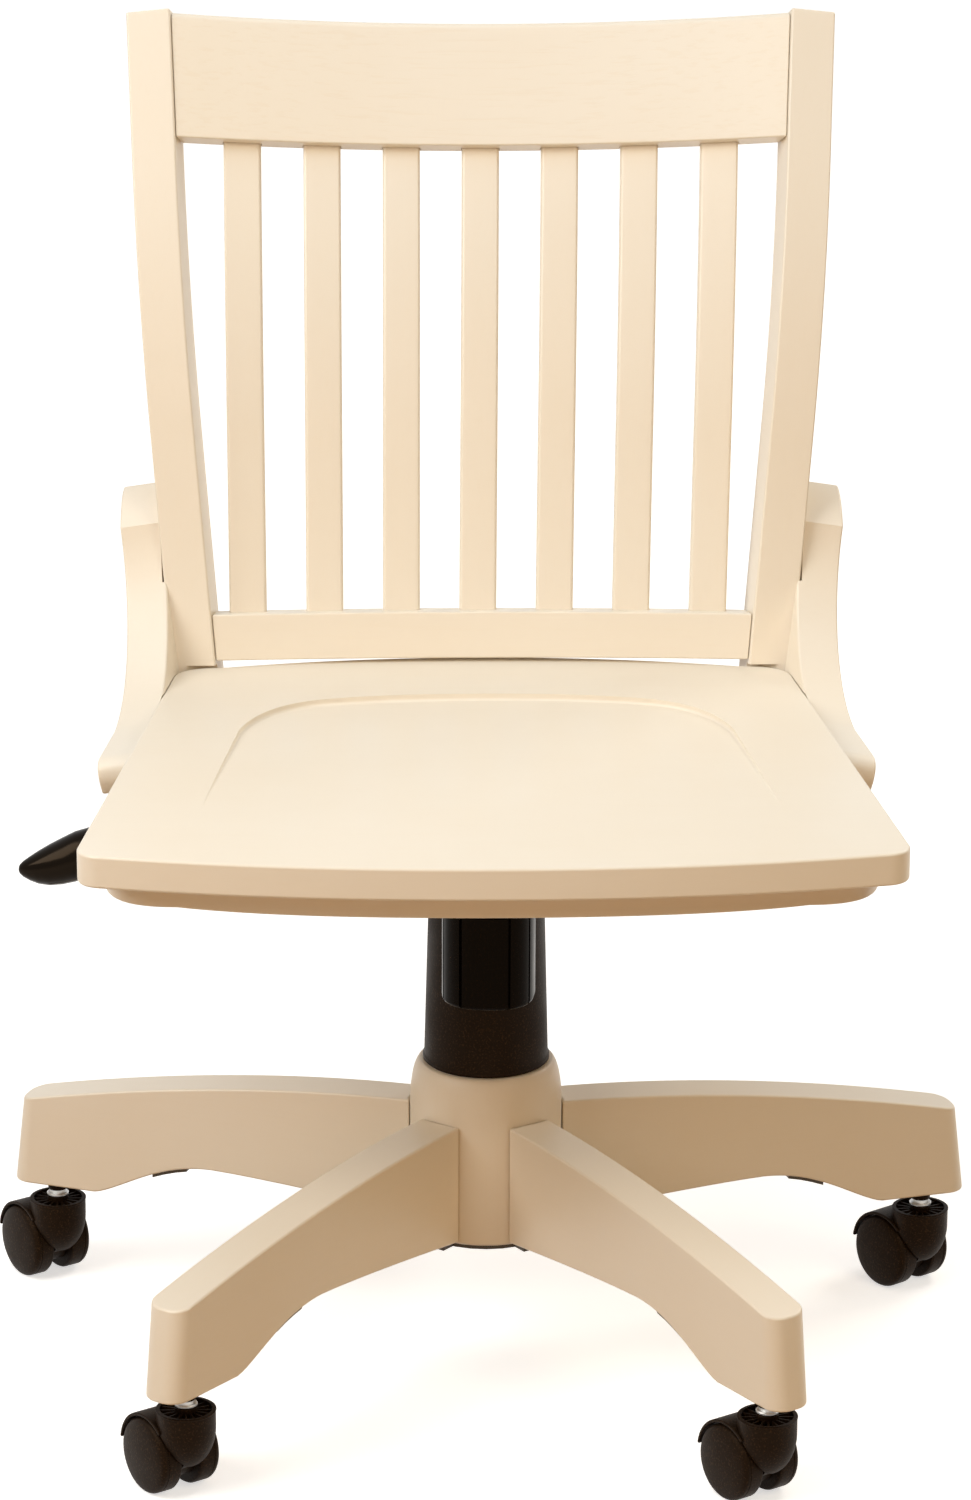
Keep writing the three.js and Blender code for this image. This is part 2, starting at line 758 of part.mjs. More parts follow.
function housing() {
  const rear = block([-housingHalf, housingFront, housingBottom], [housingHalf, housingRear, housingTop]);
  const nose = block([-noseHalf, noseFront, noseBottom], [noseHalf, housingFront + housingWall, housingTop]);
  const roomHalf = housingHalf - housingWall;
  const rearRoom = block([-roomHalf, housingFront + housingWall, housingBottom + housingWall],
    [roomHalf, housingRear - housingWall, housingTop + overrun]);
  const noseRoom = block([-noseHalf + housingWall, noseFront + housingWall, noseBottom + housingWall],
    [noseHalf - housingWall, housingFront + overrun, housingTop + overrun]);
  const socketOuter = cylinderRadius + fit + socketWall;
  const shell = union(rear, nose).subtract(rearRoom).subtract(noseRoom)
    .add(post(socketOuter, socketBottom, socketTop));
  const lowBore = cylinderRadiusAt(socketBottom) + fit;
  const highBore = cylinderRadiusAt(socketTop) + fit;
  const taper = turned([[0, socketBottom - overrun], [lowBore, socketBottom - overrun],
    [lowBore, socketBottom], [highBore, socketTop], [highBore, socketTop + overrun],
    [0, socketTop + overrun]]);
  const pinReach = housingHalf + overrun;
  const pinHole = crossBar(tiltPinRadius + fit, -pinReach, pinReach, tiltPinY, tiltPinZ);
  const slot = block([-boltRadius - 2 * fit, boltY - boltSlot, noseBottom - overrun],
    [boltRadius + 2 * fit, boltY + boltSlot, noseBottom + 2 * housingWall]);
  const leverNotch = block([-housingHalf - overrun, -leverSlot / 2, leverZ - leverRodRadius - fit],
    [-housingHalf + 2 * housingWall, leverSlot / 2, housingTop + overrun]);
  return shell.subtract(taper).subtract(pinHole).subtract(slot).subtract(leverNotch);
}

function seatPlate() {
  const plate = block([-plateHalf, plateFront, plateUnderside], [plateHalf, plateRear, plateTop]);
  const earInner = housingHalf + 2 * fit;
  const ear = block([earInner, tiltPinY - earHalf, tiltPinZ - earDrop / 2],
    [earInner + earThickness, tiltPinY + earHalf, plateUnderside + plateThickness / 2]);
  const pinHole = crossBar(tiltPinRadius + fit, -plateHalf, plateHalf, tiltPinY, tiltPinZ);
  let body = union(plate, ear, mirrored(ear)).subtract(pinHole)
    .subtract(post(boltRadius + fit, plateUnderside - overrun, plateTop + overrun, 0, boltY, smallSegments));
  for (const side of [-1, 1]) {
    for (const y of [plateFront + plateBoltInset, plateRear - plateBoltInset]) {
      body = body.add(post(plateBoltRadius, plateUnderside - plateBoltHead,
        plateUnderside + plateThickness / 2, side * (plateHalf - plateBoltInset), y, headSegments));
    }
  }
  return body;
}

function tiltPin() {
  const reach = housingHalf + 3 * fit + earThickness;
  return union(crossBar(tiltPinRadius, -reach - pinHead / 2, reach + pinHead / 2, tiltPinY, tiltPinZ),
    crossBar(pinHeadRadius, reach, reach + pinHead, tiltPinY, tiltPinZ),
    crossBar(pinHeadRadius, -reach - pinHead, -reach, tiltPinY, tiltPinZ));
}

function tensionBolt() {
  const headBottom = plateTop + fit;
  const shankBottom = knobBottom + knobFloor / 2;
  return union(post(boltRadius, shankBottom, headBottom + boltHead / 2, 0, boltY, smallSegments),
    post(boltHeadRadius, headBottom, headBottom + boltHead, 0, boltY, headSegments));
}

// Outer radius of the knob at an angle from the middle of one of its four wide faces
function knobRadiusAt(angle) {
  return knobFace + (knobCorner - knobFace) * Math.sin(knobLobes / 2 * angle) ** 2;
}

function knobRing(height, inset) {
  return Array.from({ length: knobSides }, (_, side) => {
    const angle = 2 * Math.PI * side / knobSides;
    const radius = knobRadiusAt(angle) - inset;
    return new THREE.Vector3(radius * Math.cos(angle), radius * Math.sin(angle), height);
  });
}

// A rounded square cup with four wide and four narrow grips between thin grooves
function tensionKnob() {
  let body = loft([knobRing(knobBottom, knobEdge), knobRing(knobBottom + knobEdge / 4, knobEdge / 4),
    knobRing(knobBottom + knobEdge, 0), knobRing(knobTop, 0)])
    .subtract(post(knobBore, knobBottom + knobFloor, knobTop + overrun))
    .subtract(post(boltRadius + fit, knobBottom - overrun, knobTop, 0, 0, smallSegments));
  const root = knobRadiusAt(radians(lobeHalf)) - grooveDepth;
  const groove = block([root, -grooveWidth / 2, knobBottom - overrun],
    [knobCorner + overrun, grooveWidth / 2, knobTop + overrun]);
  for (let index = 0; index < knobLobes; index += 1) {
    const middle = 360 / knobLobes * index;
    body = body.subtract(groove.rotate([0, 0, middle - lobeHalf]))
      .subtract(groove.rotate([0, 0, middle + lobeHalf]));
  }
  return body.rotate([0, 0, knobTurn]).translate([0, boltY, 0]);
}

// One unbroken helix between the knob's floor and the nose of the housing
function tensionSpring() {
  const low = knobBottom + knobFloor + fit + springWire / 2;
  const high = noseBottom - fit - springWire / 2;
  const steps = springTurns * springTurnSteps;
  const rings = [];
  for (let step = 0; step <= steps; step += 1) {
    const turn = 2 * Math.PI * step / springTurnSteps;
    const centre = new THREE.Vector3(springRadius * Math.cos(turn), boltY + springRadius * Math.sin(turn),
      low + (high - low) * step / steps);
    const outward = new THREE.Vector3(Math.cos(turn), Math.sin(turn), 0);
    const ring = [];
    for (let side = 0; side < springWireSides; side += 1) {
      const angle = 2 * Math.PI * side / springWireSides;
      ring.push(centre.clone().addScaledVector(outward, springWire / 2 * Math.cos(angle))
        .add(new THREE.Vector3(0, 0, springWire / 2 * Math.sin(angle))));
    }
    rings.push(ring);
  }
  const pitch = (high - low) / springTurns;
  console.log(`tension_spring: least gap between turns ${(pitch - springWire).toFixed(2)} mm`);
  return loft(rings);
}

// Rings of a straight or cranked bar that runs along X through [x, z] stations
function barAlong(stations, radius, sides) {
  return loft(stations.map(([x, z]) => Array.from({ length: sides }, (_, side) => {
    const angle = 2 * Math.PI * (side + 0.5) / sides;
    return new THREE.Vector3(x, radius * Math.cos(angle), z - radius * Math.sin(angle));
  })));
}

function leverRod() {
  return barAlong([[leverInnerReach, leverZ], [leverCrankX, leverZ], [leverOuterX, leverOuterZ],
    [paddleRoot - paddleSocket, leverOuterZ]], leverRodRadius, leverRodSides);
}

function ellipseRing(x, z, halfY, halfZ, sides) {
  return Array.from({ length: sides }, (_, side) => {
    const angle = 2 * Math.PI * side / sides;
    return new THREE.Vector3(x, halfY * Math.cos(angle), z - halfZ * Math.sin(angle));
  });
}

// The paddle is a long drop: a narrow root, a full middle that bends down, and a rounded tip
function leverPaddle() {
  const ring = (x, z, share) => ellipseRing(x, z, paddleHalfWidth * share, paddleHalfHeight * share,
    paddleSides);
  const rings = [
    ring(paddleRoot, leverOuterZ, paddleRootShare),
    ring((paddleRoot + paddleBend) / 2, (leverOuterZ + paddleBendZ) / 2, (paddleRootShare + 1) / 2),
    ring(paddleBend, paddleBendZ, 1),
    ring(paddleBelly, paddleBellyZ, paddleBellyShare),
    ring(paddleNeck, paddleTipZ, paddleNeckShare),
    ring(paddleTip, paddleTipZ, paddleTipShare),
  ];
  const socket = crossBar(leverRodRadius + fit, paddleRoot - paddleSocket - fit, paddleRoot + overrun, 0,
    leverOuterZ, smallSegments);
  return loft(rings).subtract(socket);
}

function control() {
  const group = new THREE.Group();
  group.add(piece('control_housing', housing(), blackSteel));
  group.add(piece('seat_plate', seatPlate(), blackSteel));
  group.add(piece('tilt_pin', tiltPin(), brightSteel));
  group.add(piece('tension_bolt', tensionBolt(), brightSteel));
  group.add(piece('tension_spring', tensionSpring(), blackSteel));
  group.add(piece('tension_knob', tensionKnob(), blackPlastic));
  group.add(piece('lever_rod', leverRod(), blackSteel));
  group.add(piece('lever_paddle', leverPaddle(), glossPlastic));
  return group;
}

// Plan of the seat, grown by a clearance where it cuts its neighbours
function seatPlan(grow = 0) {
  const half = seatFrontHalf + grow;
  const shape = new THREE.Shape();
  shape.moveTo(0, seatFront - grow);
  shape.quadraticCurveTo(seatFrontHalf / 2, seatFront - grow, half - seatCornerRadius,
    seatFront - grow + seatFrontSag);
  shape.quadraticCurveTo(half, seatCornerY - seatCornerRadius, half, seatCornerY);
  shape.lineTo(seatRearHalf + grow, seatRearCornerY);
  shape.quadraticCurveTo(seatRearHalf + grow - seatTaper * seatCornerRadius, seatRearShoulderY - fit + grow,
    seatRearShoulderX, seatRearShoulderY + grow);
  shape.quadraticCurveTo(seatRearShoulderX / 2, seatRear + grow, 0, seatRear + grow);
  mirrorOutline(shape, seatPlanSteps);
  return shape;
}

// Completes a half outline that runs from the front centre to the rear centre
function mirrorOutline(shape, divisions) {
  const right = shape.getPoints(divisions);
  const left = right.slice(1, -1).reverse();
  left.forEach((point) => shape.lineTo(-point.x, point.y));
}

function underPlan() {
  const half = seatFrontHalf - underSideInset;
  const taperTo = seatRearHalf - underSideInset;
  const shape = new THREE.Shape();
  shape.moveTo(0, seatFront + underFrontInset);
  shape.quadraticCurveTo(underShoulderX * 2 / 3, seatFront + underFrontInset, underShoulderX, underShoulderY);
  shape.quadraticCurveTo(half, underShoulderY, half, underCornerY);
  shape.lineTo(taperTo, seatRearCornerY - underRearInset);
  shape.quadraticCurveTo(taperTo, seatRearShoulderY - underRearInset, seatRearShoulderX,
    seatRearShoulderY - underRearInset);
  shape.quadraticCurveTo(seatRearShoulderX / 2, seatRear - underRearInset, 0, seatRear - underRearInset);
  mirrorOutline(shape, seatPlanSteps);
  return shape;
}

function dishPlan() {
  const shape = new THREE.Shape();
  shape.moveTo(0, dishFront);
  shape.lineTo(dishFrontHalf, dishFront);
  shape.lineTo(dishWaistHalf, dishWaistY);
  shape.quadraticCurveTo((dishWaistHalf + dishRearHalf) / 2, dishCornerY,
    dishRearHalf / 2 + dishWaistHalf / 4, (dishCornerY + dishRear) / 2);
  shape.quadraticCurveTo(dishRearHalf / 2, dishRear, 0, dishRear);
  mirrorOutline(shape, dishSteps);
  return shape;
}

// The hollow is deepest at its rear line and fades out forwards
function dishCutter() {
  const slope = THREE.MathUtils.radToDeg(Math.atan2(dishDepth, dishRear - dishFront));
  return slab(dishPlan(), 0, overrun).translate([0, -dishFront, 0]).rotate([-slope, 0, 0])
    .translate([0, dishFront, seatTop]);
}

function seatBoard() {
  return slab(seatPlan(), seatUnderside, seatTop, seatEdge).subtract(dishCutter());
}

function underBoard() {
  const pocket = post(boltPocketRadius, boardUnderside - overrun, boardUnderside + boltPocketDepth, 0, boltY,
    smallSegments);
  return slab(underPlan(), boardUnderside, seatUnderside - fit, underEdge).subtract(pocket);
}

// Front face of the back in its own side view: straight, then a bend, then straight to the top
function backProfile(along) {
  const start = radians(lowerRecline);
  const end = radians(upperRecline);
  const radius = (postBendEnd - postBendStart) / (end - start);
  const straight = Math.min(along, postBendStart);
  const recline = start + Math.max(Math.min(along, postBendEnd) - postBendStart, 0) / radius;
  const beyond = Math.max(along - postBendEnd, 0);
  const y = straight * Math.sin(start) + radius * (Math.cos(start) - Math.cos(recline))
    + beyond * Math.sin(end);
  const z = straight * Math.cos(start) + radius * (Math.sin(recline) - Math.sin(start))
    + beyond * Math.cos(end);
  return { y: postFrontY + y, z: postFootZ + z, recline };
}

function behindProfile(along, depth) {
  const { y, z, recline } = backProfile(along);
  return { y: y + depth * Math.cos(recline), z: z - depth * Math.sin(recline) };
}

// Sideways place of the posts' inner faces: they splay with height and close in with depth
function postInnerAt(y, z) {
  return postInner + postSplay * (z - postFootZ) - seatTaper * (y - postFrontY);
}

// A point of the bent back: the sitter's side is hollow, so the middle lies behind the posts
function backPoint(x, along, depth) {
  const { y, z } = backProfile(along);
  const edge = postInnerAt(y, z);
  const bow = railBow + (crestBow - railBow) * along / postLength;
  const setBack = bow * (1 - (x / edge) ** 2);
  const spot = behindProfile(along, depth + setBack);
  return new THREE.Vector3(x, spot.y, spot.z);
}

function postShape() {
  const shape = new THREE.Shape();
  const stations = Array.from({ length: postSteps + 1 }, (_, step) => postLength * step / postSteps);
  const heel = behindProfile(-postTail, 0);
  shape.moveTo(heel.y, heel.z);
  const back = behindProfile(-postTail, postDepth);
  shape.lineTo(back.y, back.z);
  stations.forEach((along) => {
    const spot = behindProfile(along, postDepth);
    shape.lineTo(spot.y, spot.z);
  });
  stations.reverse().forEach((along) => {
    const spot = behindProfile(along, 0);
    shape.lineTo(spot.y, spot.z);
  });
  return shape;
}

function backPost() {
  const board = boardAcross(postShape(), postWidth, postEdge).translate([postWidth / 2, 0, 0]);
  const leaned = leanAcross(board, postSplay, postFootZ, -seatTaper, postFrontY, postInner);
  const seatRoom = slab(seatPlan(fit), boardUnderside - 2 * overrun, seatTop + fit);
  return leaned.subtract(seatRoom);
}

// A board bent across the back, with its edges eased, between two heights along the profile
function bentRail(bottom, height, thickness, rows, topEdge) {
  const outline = [];
  for (let row = 0; row <= rows; row += 1) {
    outline.push([0, bottom + railEdge + (height - railEdge - topEdge) * row / rows]);
  }
  outline.push([topEdge / 4, bottom + height - topEdge / 3]);
  outline.push([topEdge, bottom + height]);
  outline.push([thickness - railEdge, bottom + height]);
  for (let row = rows; row >= 0; row -= 1) {
    outline.push([thickness, bottom + railEdge + (height - 2 * railEdge) * row / rows]);
  }
  outline.push([thickness - railEdge, bottom]);
  outline.push([railEdge, bottom]);
  const rings = [];
  for (let step = 0; step <= railSteps; step += 1) {
    const across = 2 * step / railSteps - 1;
    rings.push(outline.map(([depth, along]) => {
      const spot = behindProfile(along, railFrontInset + depth);
      const end = postInnerAt(spot.y, spot.z) - fit;
      return backPoint(across * end, along, railFrontInset + depth);
    }));
  }
  return loft(rings);
}

// Slat outline round its own section: [across, depth]
function slatSection() {
  const half = slatWidth / 2;
  const front = railFrontInset + slatInset;
  const back = front + slatThickness;
  return [[-half + slatEdge, front], [half - slatEdge, front], [half, front + slatEdge],
    [half, back - slatEdge], [half - slatEdge, back], [-half + slatEdge, back], [-half, back - slatEdge],
    [-half, front + slatEdge]];
}

function slat(index, grow = 0) {
  const low = railBottom + railHeight - slatTenon - grow;
  const high = crestBottom + slatTenon + grow;
  const order = index - slatSideCount;
  const rings = [];
  for (let step = 0; step <= slatSteps; step += 1) {
    const along = low + (high - low) * step / slatSteps;
    const share = (along - low) / (high - low);
    const pitch = slatPitchBottom + (slatPitchTop - slatPitchBottom) * share;
    const shift = slatLean * (share - 1);
    rings.push(slatSection().map(([across, depth]) => {
      const growAcross = Math.sign(across) * grow;
      const growDepth = Math.sign(depth - railFrontInset - slatInset - slatThickness / 2) * grow;
      return backPoint(order * pitch + shift + across + growAcross, along, depth + growDepth);
    }));
  }
  return loft(rings);
}

// Side view of a bracket: a foot along the seat's edge that rises in a swan's neck to the post
function bracketShape() {
  const toeTop = bracketBottom + bracketToeHeight;
  const shape = new THREE.Shape();
  shape.moveTo(bracketFront + bracketToeRadius / 4, bracketBottom);
  shape.lineTo(bracketHeelY, bracketBottom);
  shape.bezierCurveTo(bracketTopY, bracketBottom, bracketBackY, (bracketBottom + bracketBackZ) / 2,
    bracketBackY, bracketBackZ);
  shape.quadraticCurveTo(bracketBackY, bracketTopZ, bracketTopY, bracketTopZ);
  shape.quadraticCurveTo((bracketTopY + bracketKnuckleY) / 2, bracketTopZ - bracketToeRadius / 4,
    bracketKnuckleY, bracketKnuckleZ);
  shape.bezierCurveTo(bracketKnuckleY - bracketToeRadius / 2, bracketKnuckleZ - bracketKnucklePull,
    bracketWaistY + bracketWaistPull, toeTop + bracketToeRadius / 2, bracketWaistY, toeTop);
  shape.lineTo(bracketFront + bracketToeRadius, toeTop);
  shape.quadraticCurveTo(bracketFront - bracketToeRadius / 4, toeTop, bracketFront,
    bracketBottom + bracketToeHeight / 3);
  return shape;
}

function seatEdgeAt(y) {
  return seatFrontHalf - seatTaper * (y - seatCornerY);
}

// The bracket leans so that its inner face lies on the seat's edge below and on the post above
function bracket() {
  const seatLevel = (seatTop + seatUnderside) / 2;
  const contactY = bracketTopY;
  const contactZ = (bracketKnuckleZ + bracketTopZ) / 2;
  const postOuter = postInnerAt(contactY, contactZ) + postWidth + fit;
  const lean = (postOuter - seatEdgeAt(contactY) - fit + bracketRebate) / (contactZ - seatLevel);
  const inner = seatEdgeAt(0) + fit - bracketRebate;
  const board = boardAcross(bracketShape(), bracketThickness, bracketEdge, bracketSteps)
    .translate([bracketThickness / 2, 0, 0]);
  const leaned = leanAcross(board, lean, seatLevel, -seatTaper, 0, inner);
  const seatRoom = slab(seatPlan(fit), seatUnderside - fit, seatTop + fit);
  const postRoom = leanAcross(boardAcross(postShape(), postWidth + 2 * fit).translate([postWidth / 2, 0, 0]),
    postSplay, postFootZ, -seatTaper, postFrontY, postInner);
  return leaned.subtract(seatRoom).subtract(postRoom);
}

function seatAndBack() {
  const group = new THREE.Group();
  group.add(piece('seat_board', seatBoard(), paint));
  group.add(piece('seat_underboard', underBoard(), paint));
  const side = backPost();
  group.add(piece('right_post', mirrored(side), paint));
  group.add(piece('left_post', side, paint));
  let crest = bentRail(crestBottom, crestHeight, crestThickness, 1, crestEdge);
  let lower = bentRail(railBottom, railHeight, railThickness, 1, railEdge);
  for (let index = 0; index < slatCount; index += 1) {
    const room = slat(index, fit);
    crest = crest.subtract(room);
    lower = lower.subtract(room);
    group.add(piece(`slat_${index + 1}`, slat(index), paint));
  }
  group.add(piece('crest_rail', crest, paint));
  group.add(piece('lower_rail', lower, paint));
  const arm = bracket();
  group.add(piece('right_bracket', mirrored(arm), paint));
  group.add(piece('left_bracket', arm, paint));
  return group;
}

const chair = new THREE.Group();
chair.add(base());
chair.add(gasLift());
chair.add(dustCover());
chair.add(control());
chair.add(seatAndBack());

export default chair;
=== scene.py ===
"""Swivel desk chair with a slatted back, dressed over its packed solids.

Measures are in metres, +Z is up and the sitter faces -Y, so +X is the sitter's left.
"""

import math

import bpy
from bpy.props import FloatProperty, FloatVectorProperty, PointerProperty
from mathutils import Matrix, Vector


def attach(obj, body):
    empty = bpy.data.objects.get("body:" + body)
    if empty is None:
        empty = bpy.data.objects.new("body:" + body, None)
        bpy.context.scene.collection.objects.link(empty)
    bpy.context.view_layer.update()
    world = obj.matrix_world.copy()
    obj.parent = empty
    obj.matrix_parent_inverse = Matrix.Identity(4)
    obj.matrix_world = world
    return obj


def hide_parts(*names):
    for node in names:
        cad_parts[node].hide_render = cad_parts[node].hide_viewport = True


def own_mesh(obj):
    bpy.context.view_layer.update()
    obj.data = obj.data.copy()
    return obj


bl_info = {
    "name": "Swivel desk chair",
    "version": (1, 0, 0),
    "blender": (4, 5, 0),
    "location": "View3D > Sidebar > Chair",
    "description": "Builds the finished pieces of a painted desk chair on a caster base",
    "category": "Object",
}

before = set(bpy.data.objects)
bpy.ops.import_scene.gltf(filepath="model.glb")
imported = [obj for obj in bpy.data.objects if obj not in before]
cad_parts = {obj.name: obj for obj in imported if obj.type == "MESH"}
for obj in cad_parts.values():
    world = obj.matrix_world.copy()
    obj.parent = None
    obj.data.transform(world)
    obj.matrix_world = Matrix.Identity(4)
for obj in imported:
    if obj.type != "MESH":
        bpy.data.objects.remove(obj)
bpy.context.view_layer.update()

# Play between fitted pieces, and how near doubled points lie
FIT = 0.0003
MERGE = FIT / 100

LEGS = 5
SLATS = 7
CUP_RIBS = 16


# Settings


def length(label, use, value):
    return FloatProperty(name=label, description=use, default=value, unit="LENGTH", precision=4)


def degrees(label, use, value):
    return FloatProperty(name=label, description=use, default=math.radians(value), subtype="ANGLE")


def share(label, use, value):
    return FloatProperty(name=label, description=use, default=value, subtype="FACTOR")


def power(label, use, value):
    return FloatProperty(name=label, description=use, default=value, unit="POWER")


def colour(label, use, value):
    return FloatVectorProperty(name=label, description=use, default=value, subtype="COLOR", size=4)


class BaseSizes(bpy.types.PropertyGroup):
    """Hub and legs"""

    hub_radius: length("Hub radius", "Widest radius of the turned hub", 0.0478)
    hub_bottom: length("Hub bottom", "Height of the hub's lower face", 0.0824)
    hub_top: length("Hub top", "Height of the hub's upper face", 0.192)
    hub_top_radius: length("Hub top radius", "Radius where the shoulder ends", 0.041)
    hub_shoulder: length("Hub shoulder", "Height of the rounded shoulder", 0.027)
    hub_bore: length("Hub bore", "Radius of the hole for the column", 0.028)
    hub_edge: length("Hub edge", "Rounding of the hub's edges", 0.0015)
    yaw: degrees("Base turn", "How far the base stands turned against the seat", 2.4)
    leg_width: length("Leg width", "Thickness of a leg", 0.029)
    leg_reach: length("Leg reach", "Distance from the axis to a leg's tip", 0.323)
    tip_slope: length("Tip slope", "How far the tip leans back at its top", 0.007)
    tip_top: length("Tip top", "Height of the leg at its tip", 0.127)
    root_top: length("Root top", "Height of the leg at the hub", 0.1618)
    crown_radius: length("Crown radius", "Distance of the crown's pull from the axis", 0.170)
    crown_height: length("Crown height", "Height of the crown's pull", 0.160)
    corner: length("Tip corner", "Radius of the tip's upright corners", 0.012)
    edge: length("Leg edge", "Rounding of the leg's long edges", 0.0020)
    foot_bottom: length("Foot bottom", "Height of the flat under the tip", 0.069)
    foot_inner: length("Foot inner end", "Distance where the foot starts to rise", 0.264)
    arch_radius: length("Arch distance", "Distance where the arch is highest", 0.182)
    arch_height: length("Arch height", "Highest point of the underside", 0.095)
    arch_root: length("Arch root", "Height of the underside at the hub", 0.0844)
    strap_end: length("Strap end", "Reach of the steel strap under a leg", 0.224)
    pad_start: length("Pad start", "Where the strap's end pad begins", 0.200)


class CasterSizes(bpy.types.PropertyGroup):
    """Casters"""

    circle: length("Caster circle", "Distance of the stems from the axis", 0.296)
    wheel_radius: length("Wheel radius", "Radius of a wheel", 0.0235)
    wheel_inner: length("Wheel inner face", "Half the gap between a caster's wheels", 0.0066)
    wheel_outer: length("Wheel outer face", "Crown of a wheel's outer face", 0.0232)
    trail: length("Trail", "Distance of the axle behind the stem", 0.017)
    hood_top: length("Cup top", "Height of the cup's rim", 0.0562)
    cup_radius: length("Cup radius", "Outer radius of the cup", 0.018)
    cup_floor: length("Cup floor", "Height of the floor inside the cup", 0.043)
    cup_chin: length("Cup chin", "Lowest point of the cup", 0.0185)
    fender_width: length("Fender width", "Width of the arch over the wheels", 0.039)
    fender_edge: length("Fender edge", "Rounding of the arch's edges", 0.0007)
    boss_radius: length("Boss radius", "Radius of the boss round the stem", 0.0068)
    boss_top: length("Boss top", "Height of the boss round the stem", 0.058)
    stem_radius: length("Stem radius", "Radius of the bright stem", 0.005)
    ring_radius: length("Ring radius", "Radius of the stem's bright ring", 0.0071)
    sleeve_radius: length("Sleeve radius", "Radius of the black socket sleeve", 0.0062)
    sleeve_bottom: length("Sleeve bottom", "Lower end of the sleeve, below the leg", 0.0624)


class ColumnSizes(bpy.types.PropertyGroup):
    """Dust cover, knob and lever"""

    cover_radius: length("Cover radius", "Radius of the lower cover at its foot", 0.039)
    cover_top_radius: length("Cover top radius", "Radius of the lower cover at its top", 0.0362)
    cover_top: length("Cover top", "Height of the lower cover's rim", 0.302)
    knob_face: length("Knob face", "Radius in the middle of the knob's wide grips", 0.0285)
    knob_corner: length("Knob corner", "Radius in the middle of its narrow grips", 0.031)
    knob_turn: degrees("Knob turn", "How far the knob stands turned", -6.5)
    knob_lobe: degrees("Knob grip", "Half the angle that a wide grip takes", 29.5)
    knob_groove: length("Knob groove", "Width of the grooves between the grips", 0.0018)
    knob_edge: length("Knob edge", "Rounding of the grips' edges", 0.0005)
    knob_bottom: length("Knob bottom", "Height of the knob's lower face", 0.258)
    knob_top: length("Knob top", "Height of the knob's upper rim", 0.319)
    bolt_y: length("Bolt place", "Where the tension bolt stands, front to back", -0.070)
    lever_z: length("Lever height", "Height of the lever's inner end", 0.3509)


class SeatSizes(bpy.types.PropertyGroup):
    """Seat and its lower board"""

    top: length("Seat height", "Height of the seat's upper face", 0.402)
    thickness: length("Seat thickness", "Thickness of the seat board", 0.020)
    front: length("Front", "Front edge of the seat", -0.248)
    front_half: length("Front half width", "Half the seat's widest part", 0.244)
    corner_y: length("Front corner", "Where the front corners end", -0.206)
    corner_radius: length("Corner radius", "Size of the front corners", 0.016)
    front_sag: length("Front bow", "How far the front edge bows out", 0.024)
    rear_half: length("Rear half width", "Half the seat's width at its rear corners", 0.199)
    rear_corner_y: length("Rear corner", "Where the rear corners begin", 0.131)
    rear: length("Rear", "Rear edge of the seat", 0.176)
    shoulder: length("Rear shoulder", "Width taken by a rear corner", 0.033)
    shoulder_y: length("Rear shoulder place", "Where a rear corner ends", 0.155)
    edge: length("Seat edge", "Rounding of the seat's edges", 0.0018)
    under_thickness: length("Lower board", "Thickness of the lower board", 0.019)
    under_edge: length("Lower board edge", "Rounding of the lower board's edges", 0.0015)
    dish_rear: length("Hollow rear", "Rear line of the hollow", 0.095)
    dish_front: length("Hollow front", "Where the hollow fades out", -0.150)
    dish_depth: length("Hollow depth", "Depth of the hollow at its rear line", 0.0044)
    dish_corner_y: length("Hollow corner", "Where the hollow's corners turn", 0.072)
    dish_waist_y: length("Hollow waist", "Where the hollow's sides begin", 0.020)
    dish_rear_half: length("Hollow rear half", "Half the width of the hollow's rear pull", 0.128)
    dish_waist_half: length("Hollow waist half", "Half the hollow's width at its waist", 0.154)
    dish_front_half: length("Hollow front half", "Half the hollow's width at its front", 0.176)


